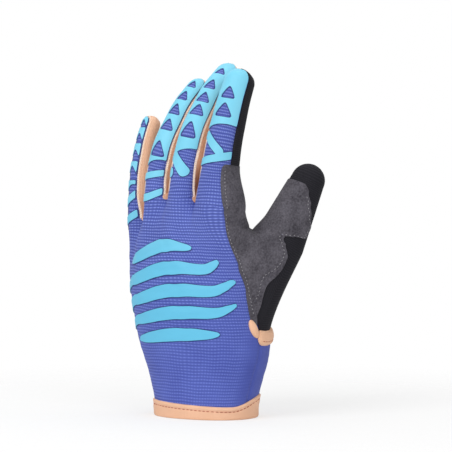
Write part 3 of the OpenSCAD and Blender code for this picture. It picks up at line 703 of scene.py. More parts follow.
def bend(bm, spots, at, cut, heart, lift=None):
    layer = bm.loops.layers.uv["cut"]
    for face in bm.faces:
        for loop in face.loops:
            loop[layer].uv = cut(*spots[loop.vert])
    for v, (a, b) in spots.items():
        v.co = at(a, b) * MM
    outwards(bm, heart)
    if lift:
        for v, (a, b) in spots.items():
            v.co += v.normal * lift(a, b) * MM


def cloth(name, columns, rows, at, cut, finish, heart, lift=None, wall=CLOTH_WALL, close=False):
    bm = flat_grid(columns, rows)
    spots = {v: (v.co.x + 0.5, v.co.y + 0.5) for v in bm.verts}
    bend(bm, spots, at, cut, heart, lift)
    if close:
        bmesh.ops.remove_doubles(bm, verts=bm.verts, dist=WELD * MM)
        outwards(bm, heart)
    return made(name, bm, finish, wall)


def dip(distance, deep=0.7, wide=0.9):
    return -deep * math.exp(-(distance / wide) ** 2)


def piped(distance):
    return dip(distance, 0.8, 0.45) + 0.4 * math.exp(-((distance - 0.9) / 0.55) ** 2)


def skin_out(skin, x, y, dx, dy, heart):
    out = (skin(x + dx, y) - skin(x - dx, y)).cross(skin(x, y + dy) - skin(x, y - dy)).normalized()
    return out if out.dot(skin(x, y) - heart) > 0 else -out


# %% [markdown]
# ## Trimmed pieces
# Prints and the suede have curved edges and windows. They could be cut with Booleans, but a flat grid
# trimmed along the line where a distance formula is zero gives clean edges and keeps the pattern: points
# near the line move onto it, and the faces outside it go.


# %% Trimmed sheets
NUDGE = 0.02


def blunt(*distances, soft=0.4):
    top = max(distances)
    return top + soft * math.log(sum(math.exp((d - top) / soft) for d in distances))


def trimmed(name, low, high, step, outline, at, finish, heart, lift=0.0, wall=0.6):
    columns = max(2, round((high[0] - low[0]) / step))
    rows = max(2, round((high[1] - low[1]) / step))
    bm = flat_grid(columns, rows)
    for v in bm.verts:
        v.co = (low[0] + (v.co.x + 0.5) * (high[0] - low[0]), low[1] + (v.co.y + 0.5) * (high[1] - low[1]), 0)
    side = {v: outline(v.co.x, v.co.y) for v in bm.verts}
    on_line = set()
    for v, d in side.items():
        if abs(d) < 0.3 * step:
            x, y = v.co.x, v.co.y
            slope = Vector((outline(x + NUDGE, y) - outline(x - NUDGE, y),
                            outline(x, y + NUDGE) - outline(x, y - NUDGE), 0)) / (2 * NUDGE)
            if slope.length > 0.3:
                v.co -= slope * d / slope.length_squared
                side[v] = 0.0
                on_line.add(v)
    for edge in [e for e in bm.edges if side[e.verts[0]] * side[e.verts[1]] < 0]:
        a, b = edge.verts
        _, new = bmesh.utils.edge_split(edge, a, side[a] / (side[a] - side[b]))
        side[new] = 0.0
        on_line.add(new)
    bmesh.ops.connect_verts(bm, verts=list(on_line))
    gone = [f for f in bm.faces if max((side[v] for v in f.verts), key=abs) > 0]
    bmesh.ops.delete(bm, geom=gone, context="FACES")
    spots = {v: (v.co.x, v.co.y) for v in bm.verts}
    bend(bm, spots, at, lambda x, y: (x, y), heart, (lambda x, y: lift) if lift else None)
    return made(name, bm, finish, wall)


print("trimming ready")

# %% [markdown]
# ## The back of the hand
# One ribbed panel runs from the hem to the finger roots and wraps round the little finger edge. It could
# be one closed sleeve with the palm, but the real seams divide them, and each panel has a knit of its own.
# The panel's edges dip at the palm seam and beside the suede, and its lower edge goes into the hem.

# %% Back, cuff and palm panels
HEART = Vector((-12, 0, 80))
BACK_TO, PALM_FROM, PALM_TO = 4 - HOLE_BACK, 4 + HOLE_PALM, 8 + BACK_FROM
COLUMN_MM, HEIGHT_MM = 20.0, 122.0
UNDER_HEM, UNDER_SUEDE = -0.03, 0.14


def on_hand(x, y):
    return hand(x / COLUMN_MM, y / HEIGHT_MM)


def hand_panel(name, g0, g1, u0, u1, columns, rows, finish, sewn, tuck=0.0):
    def spot(a, b):
        u = u0 + (u1 - u0) * b
        under_suede = tuck * smooth((u - 0.45) / 0.1) * smooth((0.98 - u) / 0.08)
        return g0 + (g1 + under_suede - g0) * a, u

    def seam(a, b):
        wide, tall = (g1 - g0) * COLUMN_MM, (u1 - u0) * HEIGHT_MM
        gaps = {"left": a * wide, "right": (1 - a) * wide, "low": b * tall, "high": (1 - b) * tall}
        return min(dip(gaps[side]) for side in sewn)

    piece = cloth(name, columns, rows, lambda a, b: hand(*spot(a, b)),
                  lambda a, b: (spot(a, b)[0] * COLUMN_MM, hand(*spot(a, b)).z), finish, HEART, seam)
    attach(piece, "hand")
    return piece


back = hand_panel("back_cloth", BACK_FROM, BACK_TO, UNDER_HEM, 1, 120, 90, blue_rib, ("left", "right"),
                  tuck=UNDER_SUEDE)
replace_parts(back, "back_panel")
cuff = hand_panel("cuff_cloth", BACK_TO, PALM_TO, UNDER_HEM, CUFF, 84, 36, blue_knit,
                  ("left", "right", "high"))
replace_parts(cuff, "cuff_palm")
palm = hand_panel("palm_cloth", PALM_FROM, PALM_TO, CUFF, 1, 84, 60, black_palm, ("left", "right", "low"))
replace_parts(palm, "palm_panel")
for piece, long_side in ((back, 124), (cuff, 48), (palm, 78)):
    declare(piece, long_side)
print("hand panels:", [(p.name, len(p.data.polygons)) for p in (back, cuff, palm)])

# %% [markdown]
# ## The fingers
# Each finger is cut from a ribbed back, a black palm and peach strips along its sides. The back runs on
# from the hand without a seam. A finger bends at two joints and one piece of cloth can follow only one of
# them, so each panel is divided between the joints, where the rib pattern runs on unbroken. The roots
# slant with the arch of the hand; knuckle_blend() works out a band with the same slant, but does not use
# it, and only bakes each piece's place into its mesh. The strip goes up one side, over the tip and down
# the other. On the outer sides of the hand it is leather.


# %% Finger surface
SHIFT_FADE, NARROWED = 8.0, 0.62
ROOT_STRIP = {"in": (1.0, 1.0, NARROWED, 1.0), "out": (1.0, 1.0, 1.0, NARROWED)}


def root_slip(i, s, angle):
    f = fingers[i]
    return smooth((f.split - s) / (f.split - f.slope * cosd(angle))) * crotch_slip(i, angle)


def finger_skin(i, s, angle, way=1):
    f = fingers[i]
    p = f.face(s, angle, way) + root_slip(i, s, angle)
    fade = smooth(1 - (s - f.slope * cosd(angle)) / SHIFT_FADE)
    return p + fade * crotch_shift(i, angle) if fade else p


def strip_edge(i, side, b):
    narrow = ROOT_STRIP[side][i]
    return fingers[i].strip * (narrow + (1 - narrow) * smooth(b))


def root_span(i, part, b):
    inner, outer = strip_edge(i, "in", b), 180 - strip_edge(i, "out", b)
    if part == "strip_in":
        return -inner, inner
    return (outer, 360 - outer) if part == "strip_out" else (inner, outer)


def finger_cut(i, s, angle):
    f = fingers[i]
    tilt = f.width / 2 * cosd(angle) * f.across.z * smooth(1 - s / 30)
    return math.radians(90 - angle) * f.width / 2, f.base.z + s + tilt + root_slip(i, s, angle).z


def knuckle_blend(piece, i):
    f = fingers[i]
    foot = f.place(0, 0)
    along_it = (f.place(0, KNUCKLE) - foot).normalized()
    level = (along_it - 2 * f.slope / f.width * f.across).normalized()
    low = max(0.0, *(crotch_slip(i, angle).dot(level) for angle in (0, 180)))
    high = min(KNUCKLE, (f.split - abs(f.slope)) * level.dot(along_it))
    (foot + low * level) * MM
    (foot + high * level) * MM
    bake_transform(piece)


def middle_blend(piece, i):
    f = fingers[i]
    f.place(0, f.mid) * MM
    f.place(0, f.mid + MIDDLE) * MM
    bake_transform(piece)


print("strip edges at the roots:", [round(strip_edge(i, "in", 0)) for i in range(4)], "degrees")


# %% Panels below and above the middle joint
def root_panel(i, part, columns, finish):
    f = fingers[i]
    way = -1 if part == "palm" else 1
    strip = part.startswith("strip")

    def spot(a, b):
        a0, a1 = root_span(i, part, b)
        angle = a0 + (a1 - a0) * a
        low = f.slope * cosd(angle)
        return low + (f.split - low) * b, angle

    def seam(a, b):
        a0, a1 = root_span(i, part, b)
        gap = min(a, 1 - a) * math.radians(a1 - a0) * f.width / 2
        return piped(gap) if strip else dip(gap)

    def cut(a, b):
        s, angle = spot(a, b)
        return (a * STRIP_CUT, s - f.split) if strip else finger_cut(i, s, angle)

    piece = cloth(f"{f.name}_root_{part}_cloth", columns, 26,
                  lambda a, b: finger_skin(i, *spot(a, b), way), cut, finish, f.place(0, f.split / 2), seam)
    knuckle_blend(piece, i)
    declare(piece, f.split)
    return piece


def end_face(i, part, way, finish):
    f = fingers[i]
    top = f.tip_start + 0.98 * f.tip_r * cosd(f.strip)

    def spot(a, b):
        return f.split + (top - f.split) * b, f.strip + (180 - 2 * f.strip) * a

    def seam(a, b):
        wide = math.radians(180 - 2 * f.strip) * f.half(spot(a, b)[0])[0]
        return dip(min(min(a, 1 - a) * wide, top - spot(a, b)[0]))

    piece = cloth(f"{f.name}_{part}_cloth", 24, 60, lambda a, b: f.face(*spot(a, b), way),
                  lambda a, b: finger_cut(i, *spot(a, b)),
                  finish, f.place(0, (f.split + f.tip_start) / 2), seam)
    middle_blend(piece, i)
    declare(piece, top - f.split)
    return piece


def end_strip(i, part, low, high, finish):
    f = fingers[i]
    total = 2 * (f.tip_start - f.split) + math.pi * f.tip_r

    def run(b):
        return (low + (high - low) * b) * total

    def seam(a, b):
        return piped(min(a, 1 - a) * math.radians(2 * f.strip) * f.tip_r)

    piece = cloth(f"{f.name}_{part}_cloth", 16, round(130 * (high - low)),
                  lambda a, b: f.edge(run(b), f.strip * (2 * a - 1), f.split),
                  lambda a, b: (a * STRIP_CUT, run(b)), finish, f.place(0, (f.split + f.tip_start) / 2), seam)
    middle_blend(piece, i)
    declare(piece, total * (high - low))
    return piece


print("panel recipes ready, with the division at", [round(f.split, 1) for f in fingers], "mm")

# %% Four fingers
for i, f in enumerate(fingers):
    n = f.name
    inner = black_palm if n == "index" else peach_knit
    outer = black_palm if n == "little" else peach_knit
    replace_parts(root_panel(i, "back", 24, blue_rib), n + "_flex", n + "_root_back")
    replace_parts(root_panel(i, "palm", 24, black_palm), n + "_root_palm")
    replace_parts(root_panel(i, "strip_in", 16, inner), n + "_root_strip_in")
    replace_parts(root_panel(i, "strip_out", 16, outer), n + "_root_strip_out")
    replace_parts(end_face(i, "back", 1, blue_rib), n + "_mid_flex", n + "_back")
    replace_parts(end_face(i, "palm", -1, black_palm), n + "_palm")
    if inner == outer:
        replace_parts(end_strip(i, "strip", 0.0, 1.0, inner), n + "_strip")
    else:
        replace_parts(end_strip(i, "strip", 0.0, 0.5, inner), n + "_strip")
        end_strip(i, "strip_out", 0.5, 1.0, outer)
    print(n, "finger: divided", round(f.split, 1), "mm from the root")

# %% [markdown]
# ## The folds at the crotches
# At each crotch the peach strips of two fingers meet in a small fold that laps onto the back of the hand.
# An oval trimmed on the skin of the hand is enough for it, because the rest lies between the fingers.


# %% Crotch folds
FOLD_WIDE, FOLD_TALL, FOLD_WALL = (4.8, 4.4, 2.8), (4.6, 4.4, 4.0), 0.5


def crotch_fold(k):
    wide, tall, middle = FOLD_WIDE[k - 1], FOLD_TALL[k - 1], k * COLUMN_MM

    def oval(x, y):
        return math.hypot((x - middle) / wide, (y - HEIGHT_MM) / tall) * wide - wide

    piece = trimmed(f"{NAMES[k - 1]}_crotch_fold", (middle - wide - 1, HEIGHT_MM - tall - 1),
                    (middle + wide + 1, HEIGHT_MM), 0.5, oval, on_hand, peach_binding, HEART, FOLD_WALL,
                    FOLD_WALL)
    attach(piece, "hand")
    return piece


folds = [crotch_fold(k) for k in (1, 2, 3)]
print("crotch folds:", [p.name for p in folds])

# %% [markdown]
# ## The prints on the fingers
# A raised turquoise print covers the back of each finger, with a row of rounded triangular windows that
# show the blue knit, smaller towards the tip, and slanting strokes below it. Each finger's pattern is one
# distance formula, trimmed from a sheet half a millimetre proud of the cloth. The sheet is divided where
# the cloth is. A darker sheet under it, a little wider, is a painted shadow along the print's edge. A
# stroke is written as x and y of its two ends and its half width, with x as a share of the finger's width.

# %% Finger prints
PRINT_SHADOW_MM = 0.45
PRINT_LIFT, PRINT_WALL, PRINT_SHADOW_LIFT, PRINT_SHADOW_WALL = 0.55, 0.5, 0.22, 0.2
EDGE_DEGREES, BIGGEST, SHRINK = 4, 8.9, 3.2
PRINT_FROM = {"little": 23.7, "ring": 27.4, "middle": 28.2, "index": 46.0}
PRINT_RISE = {"little": 2.0, "ring": 2.6, "middle": 3.2, "index": 2.0}
WINDOWS = {"little": (30.1, 40.7, 51.5, 61.0), "ring": (33.4, 47.7, 58.5, 67.9, 77.5),
           "middle": (38.7, 50.8, 60.2, 69.2, 80.5), "index": (54.0, 64.5)}
STROKES = {"little": ((-1.3, 12.0, 1.3, 19.0, 2.0), (-1.3, 1.0, 1.3, 7.0, 2.0)),
           "ring": ((-1.3, 15.0, 1.3, 21.5, 2.0), (-1.3, 2.0, 1.3, 9.0, 2.0)),
           "middle": ((-0.9, 24.5, 0.45, 15.0, 3.2), (-1.6, 10.5, -0.8, 12.5, 3.0)),
           "index": ((-0.75, 39.0, 0.3, 31.0, 2.3), (-1.3, 22.0, 1.3, 31.0, 2.2))}


def triangle(x, y, size):
    slope = Vector((0.83, 0.56))
    return blunt(-y - 0.3 * size, slope.x * x + slope.y * y - 0.3 * size,
                 -slope.x * x + slope.y * y - 0.3 * size, soft=0.12 * size) - 0.1 * size


def stroke(p, start, end, half):
    along_it = limit((p - start).dot(end - start) / (end - start).length_squared)
    return (p - start - along_it * (end - start)).length - half


def raised(name, low, high, step, outline, at, heart, lift=PRINT_LIFT, wall=PRINT_WALL, shadow_lift=PRINT_SHADOW_LIFT):
    sheet = trimmed(name + "_sheet", low, high, step, outline, at, turquoise_print, heart, lift, wall)
    # the rim is a painted shadow: a dark sheet just wider than the print, for the shade along its edge
    rim = trimmed(name + "_rim", low, high, step, lambda x, y: outline(x, y) - PRINT_SHADOW_MM, at, navy_rim, heart,
                  shadow_lift, PRINT_SHADOW_WALL)
    return sheet, rim


def finger_print(i):
    f = fingers[i]
    tip = f.tip_start + 0.8 * f.tip_r
    span = math.radians(90 - f.strip - EDGE_DEGREES)
    count = len(WINDOWS[f.name])
    sizes = [BIGGEST - SHRINK * k / max(2, count - 1) for k in range(count)]

    def radius(y):
        return sum(f.half(min(y, f.tip_start))) / 2

    def reach(x, y):
        b = limit(y / f.split)
        edge = strip_edge(i, "in" if x > 0 else "out", b)
        return math.radians(90 - edge - EDGE_DEGREES) * radius(y)

    def outline(x, y):
        half = span * radius(y)
        share = x / half
        low_edge = PRINT_FROM[f.name] + PRINT_RISE[f.name] * share - 1.5 * share * share
        holes = min(triangle(x, y - s, size) for s, size in zip(WINDOWS[f.name], sizes))
        main = max(blunt(low_edge - y, y - tip), -holes)
        strokes = min(stroke(Vector((x, y)), Vector((a * half, b)), Vector((c * half, d)), wide)
                      for a, b, c, d, wide in STROKES[f.name])
        foot = f.slope * cosd(90 - math.degrees(x / radius(y))) + 0.6
        return blunt(abs(x) - reach(x, y), min(main, strokes), foot - y, soft=0.25)

    def at(x, y):
        return finger_skin(i, y, 90 - math.degrees(x / radius(y)))

    side = span * f.width / 2 + 4
    pieces = []
    for part, low, high, follow in (("print", f.split, tip + 1, middle_blend),
                                    ("root_print", -5, f.split, knuckle_blend)):
        sheet, rim = raised(f"{f.name}_{part}", (-side, low), (side, high), 0.55, outline, at,
                            f.place(0, (low + high) / 2))
        follow(sheet, i)
        follow(rim, i)
        pieces.append(sheet)
    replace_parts(pieces[0], f.name + "_print")
    return pieces


prints = [piece for i in range(4) for piece in finger_print(i)]
print("prints:", [(p.name, len(p.data.polygons)) for p in prints])

# %% [markdown]
# ## The print on the back of the hand
# Wave bands of the same turquoise sweep across the back of the hand. They are shorter towards the top and
# the bottom, so that together they make a leaf shape, and their ends are round. Flat strips shrunk onto
# the hand would lose their edges, so they are trimmed from a sheet on the skin as the finger prints are.

# %% Wave bands
WAVES, WAVE_LOW, WAVE_HIGH, WAVE_MID, WAVE_REACH = 5, 0.34, 0.76, 1.75, 1.55
WAVE_HALF, WAVE_LIFT, WAVE_WALL, WAVE_SHADOW_LIFT = 3.7, 0.6, 0.55, 0.25
WAVE_CLIMB, WAVE_SWING, WAVE_TURN = 4, 3, 110
WAVE_BOX = ((0.05 * COLUMN_MM, 0.26 * HEIGHT_MM), (3.5 * COLUMN_MM, 0.86 * HEIGHT_MM))


def wave_line(x, k):
    rise = (WAVE_HIGH - WAVE_LOW) / (WAVES - 1) * HEIGHT_MM
    g = x / COLUMN_MM
    swing = WAVE_SWING * sind(g * WAVE_TURN)
    return WAVE_LOW * HEIGHT_MM + rise * k + WAVE_CLIMB * (g - WAVE_MID) + swing


def waves(x, y):
    best = 1e3
    for k in range(WAVES):
        off = (2 * k + 1) / WAVES - 1
        half = WAVE_REACH * math.sqrt(1 - off * off) * COLUMN_MM
        t = limit((x - WAVE_MID * COLUMN_MM) / half, -1, 1)
        past_end = max(0.0, abs(x - WAVE_MID * COLUMN_MM) - half)
        past_side = abs(y - wave_line(x, k)) - WAVE_HALF * math.sqrt(1.06 - t * t)
        best = min(best, math.hypot(max(0.0, past_side), past_end) + min(0.0, past_side) + past_end)
    return best


wave_print, wave_shadow = raised("back_print", *WAVE_BOX, 0.6, waves, on_hand, HEART, WAVE_LIFT, WAVE_WALL,
                              WAVE_SHADOW_LIFT)
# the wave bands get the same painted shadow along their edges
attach(wave_shadow, "hand")
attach(wave_print, "hand")
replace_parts(wave_print, "back_print")
print("wave bands:", len(wave_print.data.polygons), "faces")

# %% [markdown]
# ## The black thumb
# One black piece runs from the palm seam round the outside of the thumb root and closes over the tip.
# Its inner edge lies under the suede, so it starts narrow at the hand and becomes a full tube. The web
# has to stay where it is sewn to the index finger, so the bend of the thumb belongs on a slanting band;
# thumb_blend() works out that band but does not use it.

# %% Black thumb
THUMB_TOP = ROOT_RUN + thumb.length
WEB_TILT, BEND_FROM, BEND_TO = 38, -6, 10
BLACK_ROOT, BLACK_TUBE, BLACK_DEGREE_MM = (100, 276), (28, 388), 0.23


def thumb_blend(piece):
    away = cosd(WEB_TILT) * thumb.along - sind(WEB_TILT) * thumb.across
    (thumb.base + BEND_FROM * away) * MM
    (thumb.base + BEND_TO * away) * MM
    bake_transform(piece)


def black_spot(a, b):
    run = THUMB_TOP * b
    t = smooth((run - 0.35 * ROOT_RUN) / (0.8 * ROOT_RUN))
    low, high = (root + (tube - root) * t for root, tube in zip(BLACK_ROOT, BLACK_TUBE))
    return low + (high - low) * a, run


def black_at(a, b):
    turn, run = black_spot(a, b)
    if run > ROOT_RUN + thumb.tip_start:
        share = (run - ROOT_RUN - thumb.tip_start) / thumb.tip_r
        run = ROOT_RUN + thumb.tip_start + thumb.tip_r * math.sin(share * math.pi / 2)
    return thumb_skin(turn, run)


def black_cut(a, b):
    turn, run = black_spot(a, b)
    return turn * BLACK_DEGREE_MM, run


black_thumb = cloth("thumb_black_cloth", 60, 110, black_at, black_cut, black_palm, thumb.place(0, 10),
                    close=True)
thumb_blend(black_thumb)
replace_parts(black_thumb, "thenar_panel", "thumb_flex", "thumb_side", "thumb_tip")
declare(black_thumb, 100)
print("black thumb:", len(black_thumb.data.polygons), "faces")

# %% [markdown]
# ## The suede thumb web
# Grey suede covers the web between index finger and thumb. It is stitched down on the back of the hand,
# narrows to the wrist, and carries a rounded lobe up the thumb. Below the lobe its edge swings in. The
# edge is a smooth curve through a few places, so that it can be read and changed.

# %% Suede web
DEGREE_MM = 0.235
EDGE_PLACES = ((-9, 122), (0, 122), (7, 122), (18, 116), (33, 126), (37, 125), (43, 107), (46, 97), (48, 97),
               (50, 118), (53, 158), (60, 168), (66, 148), (72, 130), (78, 110), (84, 84), (92, 60))
BACK_PLACES = ((30, 0.4), (44, 0.0), (50, -0.6), (62, 1.4), (73, 1.7), (83, 1.0), (95, -4.5), (102, -7.8),
               (130, -7.8))
SUEDE_TOP, SUEDE_PALM, SUEDE_FOOT, SUEDE_LAP = ROOT_RUN + 37.0, -84 * DEGREE_MM, 0.395, -9
SUEDE_FAR, SUEDE_LIFT = 170 * DEGREE_MM, 0.55


def through(places, x):
    k = 0
    while k < len(places) - 2 and x > places[k + 1][0]:
        k += 1
    (x0, y0), (x1, y1) = places[k], places[k + 1]
    return y0 + (y1 - y0) * smooth((x - x0) / (x1 - x0))


def suede_edge(run):
    return through(EDGE_PLACES, run) * DEGREE_MM


def suede_outline(x, y):
    turn = x / DEGREE_MM
    foot = SUEDE_LAP
    if y < 0:
        foot = (SUEDE_FOOT - hole_height(cosd(turn), 1 - y * HOLE_SHRINK)) * HEIGHT_MM
    return blunt(x - suede_edge(y), y - SUEDE_TOP, through(BACK_PLACES, turn) - y, SUEDE_PALM - x, foot,
                 soft=0.5)


web = trimmed("web_suede", (SUEDE_PALM - 1, SUEDE_LAP), (SUEDE_FAR, SUEDE_TOP + 1), 0.9, suede_outline,
              lambda x, y: thumb_skin(x / DEGREE_MM, y), grey_suede, thumb.place(0, 5), SUEDE_LIFT,
              CLOTH_WALL)
thumb_blend(web)
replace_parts(web, "thumb_web_patch", "thumb_lobe")
declare(web, 86)
print("suede web:", len(web.data.polygons), "faces")

# %% [markdown]
# ## The suede on the index finger
# The same suede reaches up the thumb side of the index finger to a straight top edge with a rounded
# corner. It is cut in one with the web, but it bends at the knuckle, so it is a piece of its own here.

# %% Index suede
TAB_TOP, TAB_R, TAB_DEGREE_MM = 24.5, index.width / 2, 0.18
TAB_BACK, TAB_SWELL, TAB_PALM, TAB_NARROWS, TAB_LIFT = 57, 4, -104, 48, 0.6


def tab_skin(x, y):
    return finger_skin(3, y, math.degrees(x / TAB_R))


def tab_outline(x, y):
    angle = math.degrees(x / TAB_R)
    back_edge = TAB_BACK + TAB_SWELL * sind(180 * limit(y / TAB_TOP))
    palm_edge = TAB_PALM + TAB_NARROWS * smooth(y / TAB_TOP)
    return blunt((angle - back_edge) * TAB_DEGREE_MM, y - TAB_TOP, index.slope * cosd(angle) - 1.2 - y,
                 (palm_edge - angle) * TAB_DEGREE_MM, soft=1.4)


tab = trimmed("index_suede", (math.radians(-112) * TAB_R, -5), (math.radians(66) * TAB_R, TAB_TOP + 1), 0.7,
              tab_outline, tab_skin, grey_suede, index.place(0, 10), TAB_LIFT, CLOTH_WALL)
knuckle_blend(tab, 3)
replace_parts(tab, "index_web_tab")
declare(tab, 27)
print("index suede:", len(tab.data.polygons), "faces")

# %% [markdown]
# ## The hem and the palm binding
# The wrist opening is bound with a folded peach tape, higher at the sides than in front. It could be a
# bevelled curve, but a grid joined to itself in both directions keeps the fold flat and its top edge wavy.
# A second fold of the same tape covers the lower edge of the palm panel, and its end is tucked over there.

# %% Hem
HEM_LOW, HEM_LOWEST_AT, FOLD_R, STITCH_DOWN = 7.8, -38, 1.05, 2.9
HEM_PROUD, HEM_RUMPLE, SUNK_DEEP, SUNK_WIDE = 0.15, 0.25, 0.35, 0.6
HEM_THUMB_SIDE, HEM_FAR_SIDE = ((0, 55, 6.2), (70, 110, -2.8)), ((0, 110, 2.2), (110, 70, 1.2))


def hem_top(q):
    off = (q - HEM_LOWEST_AT + 180) % 360 - 180
    rises = HEM_THUMB_SIDE if off > 0 else HEM_FAR_SIDE
    return HEM_LOW + sum(rise * smooth((abs(off) - start) / reach) for start, reach, rise in rises)


def hem_section(b, top):
    side, turn = 0.44, 0.06
    if b % 0.5 < side:
        across, up = FOLD_R, FOLD_R + (top - 2 * FOLD_R) * (b % 0.5) / side
    else:
        angle = 180 * (b % 0.5 - side) / turn
        across, up = FOLD_R * cosd(angle), top - FOLD_R + FOLD_R * sind(angle)
    return (across, up) if b < 0.5 else (-across, top - up)


def hem_ring(q, z, proud):
    grow = smooth(z / HEEL_H) / 2
    wide = WRIST_W / 2 + grow * (HEEL_W - WRIST_W) + proud
    deep = WRIST_D / 2 + grow * (HEEL_D - WRIST_D) + proud
    return Vector((wide * even(cosd(q)), deep * even(sind(q)), z))


def hem_at(a, b):
    q = 360 * a
    top = hem_top(q)
    across, z = hem_section(min(b, 0.9999), top)
    fold = noise.noise(Vector((cosd(q) * 5, sind(q) * 5, z * 0.2)))
    sunk = SUNK_DEEP * math.exp(-((z - top + STITCH_DOWN) / SUNK_WIDE) ** 2) * (across > 0)
    return hem_ring(q, z, HEM_PROUD + across + HEM_RUMPLE * fold - sunk)


hem = cloth("hem_fold", 150, 60, hem_at, lambda a, b: (a * 180, b * 22), peach_binding, Vector((0, 0, 5)),
            wall=0.0, close=True)
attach(hem, "hand")
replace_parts(hem, "hem")
print("hem", len(hem.data.polygons), "faces")

# %% Palm binding
BINDING_FROM, BINDING_STITCH = 3.62, 0.3
BINDING_DOWN, BINDING_WIDE, BINDING_PROUD = -3.4, 9.6, 1.7


def binding_spot(a, b):
    blunt_end = math.sqrt(1 - (1 - limit(a / 0.04)) ** 2)
    return (BINDING_FROM + (PALM_TO + 0.02 - BINDING_FROM) * a,
            CUFF + (BINDING_DOWN + BINDING_WIDE * (b - 0.5) * (0.15 + 0.85 * blunt_end)) / HEIGHT_MM)


def binding_lift(a, b):
    flat_end = 1 - (2 * a - 1) ** 40
    groove = 0.4 * math.exp(-((b - BINDING_STITCH) / 0.06) ** 2)
    return 0.2 + (BINDING_PROUD * (1 - (2 * b - 1) ** 4) - groove) * flat_end


binding = cloth("palm_binding_fold", 130, 24, lambda a, b: hand(*binding_spot(a, b)),
                lambda a, b: (a * 90, b * 9), peach_binding, HEART, binding_lift, wall=1.0)
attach(binding, "hand")
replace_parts(binding, "palm_binding")
print("binding", len(binding.data.polygons), "faces")

# %% End of the binding
END_LOW, END_HIGH = (3.60, 0.342), (3.47, 0.418)
END_WIDE, END_THICK, END_PAST, END_PROUD = 2.5, 1.9, 0.6, 0.4
low_end, high_end = hand(*END_LOW), hand(*END_HIGH)
way = (high_end - low_end).normalized()
face = skin_out(hand, 3.5, 0.4, 0.1, 0.05, HEART)
bm = bmesh.new()
bm.loops.layers.uv.new("cut")
bmesh.ops.create_uvsphere(bm, u_segments=20, v_segments=12, radius=1.0, calc_uvs=True)
half_long = END_PAST + (high_end - low_end).length / 2
shape = Matrix((way.cross(face) * END_WIDE, face * END_THICK, way * half_long)).transposed().to_4x4()
middle = Matrix.Translation((low_end + high_end) / 2 + face * END_PROUD)
bmesh.ops.transform(bm, matrix=Matrix.Scale(MM, 4) @ middle @ shape, verts=bm.verts)
bmesh.ops.recalc_face_normals(bm, faces=bm.faces)
binding_end = made("palm_binding_end", bm, peach_binding)
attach(binding_end, "hand")
print("end of the binding", len(binding_end.data.polygons), "faces")

# %% [markdown]
# ## The stitches
# Each stitch is a small rounded grain of thread that lies along its seam. A dashed line in the material
# would be simpler, but grains catch the light. One low sphere, stretched along the seam, is enough for a
# stitch two millimetres long. A row is given by its spacing, the stitch's length and its thickness.


# %% Stitches
SUEDE_ROW, TAPE_ROW = (2.1, 1.15, 0.48), (2.4, 2.2, 0.5)
STEPS = 400


def stitches(name, path, normal_of, row, finish):
    spacing, length, thick = row
    bm = bmesh.new()
    points = [path(k / STEPS) for k in range(STEPS + 1)]
    run, last = 0.0, points[0]
    count = 0
    for k in range(1, len(points)):
        run += (points[k] - last).length
        last = points[k]
        if run < spacing:
            continue
        run = 0.0
        way = (points[min(k + 1, STEPS)] - points[k - 1]).normalized()
        side = normal_of(k / STEPS).cross(way).normalized()
        axes = Matrix((way * length / 2, side * thick / 2, side.cross(way) * thick / 2))
        bmesh.ops.create_icosphere(bm, subdivisions=1, radius=MM,
                                   matrix=Matrix.Translation(points[k] * MM) @ axes.transposed().to_4x4())
        count += 1
    bmesh.ops.recalc_face_normals(bm, faces=bm.faces)
    print(name, count, "stitches")
    return made(name, bm, finish)


print("a stitch every", SUEDE_ROW[0], "mm on the suede and every", TAPE_ROW[0], "mm on the tape")

# %% Stitches of the suede
THREAD_LIFT = 0.62
BACK_ROW_FROM, BACK_ROW_TURN, BACK_ROW_IN, BACK_ROW_WIDER = 45, 67, 2.6, 1.5
EDGE_ROW_FROM, EDGE_ROW_RUN, EDGE_ROW_IN = 2, 73, 2.3
TAB_ROW_IN, TAB_ROW_RUN, TAB_ROW_AT, TAB_ROW_SWELL, TAB_ROW_LIFT = 2.5, 23.5, 47, 4, 0.65


def suede_seam(name, place, heart):
    def normal_of(t):
        x, y = place(t)
        return skin_out(thumb_skin, x, y, 1.0, 0.3, heart)

    piece = stitches(name, lambda t: thumb_skin(*place(t)) + normal_of(t) * THREAD_LIFT, normal_of, SUEDE_ROW,
                     pale_thread)
    thumb_blend(piece)
    return piece


def back_seam(t):
    turn = BACK_ROW_FROM + BACK_ROW_TURN * t
    return turn, through(BACK_PLACES, turn) + BACK_ROW_IN + BACK_ROW_WIDER * t


def edge_seam(t):
    run = EDGE_ROW_FROM + EDGE_ROW_RUN * t
    return (suede_edge(run) - EDGE_ROW_IN) / DEGREE_MM, run


def tab_run(t):
    return TAB_TOP - TAB_ROW_IN - TAB_ROW_RUN * t


def tab_path(t):
    return index.tube(tab_run(t), TAB_ROW_AT + TAB_ROW_SWELL * sind(180 * t), TAB_ROW_LIFT)


suede_seam("web_back_stitches", back_seam, HEART)
suede_seam("web_edge_stitches", edge_seam, thumb.place(0, 5))
tab_row = stitches("index_suede_stitches", tab_path,
                   lambda t: (tab_path(t) - index.place(0, tab_run(t))).normalized(), SUEDE_ROW, pale_thread)
knuckle_blend(tab_row, 3)


# %% Stitches of the tape
def hem_path(t):
    q = 360 * t
    return hem_ring(q, hem_top(q) - STITCH_DOWN, FOLD_R - 0.1)


hem_row = stitches("hem_stitches", hem_path, lambda t: Vector((cosd(360 * t), sind(360 * t), 0)), TAPE_ROW,
                   rust_thread)
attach(hem_row, "hand")


def binding_out(t):
    return skin_out(hand, *binding_spot(t, BINDING_STITCH), 0.02, 0.004, HEART)


def binding_path(t):
    return hand(*binding_spot(t, BINDING_STITCH)) + binding_out(t) * (binding_lift(t, BINDING_STITCH) + 0.05)


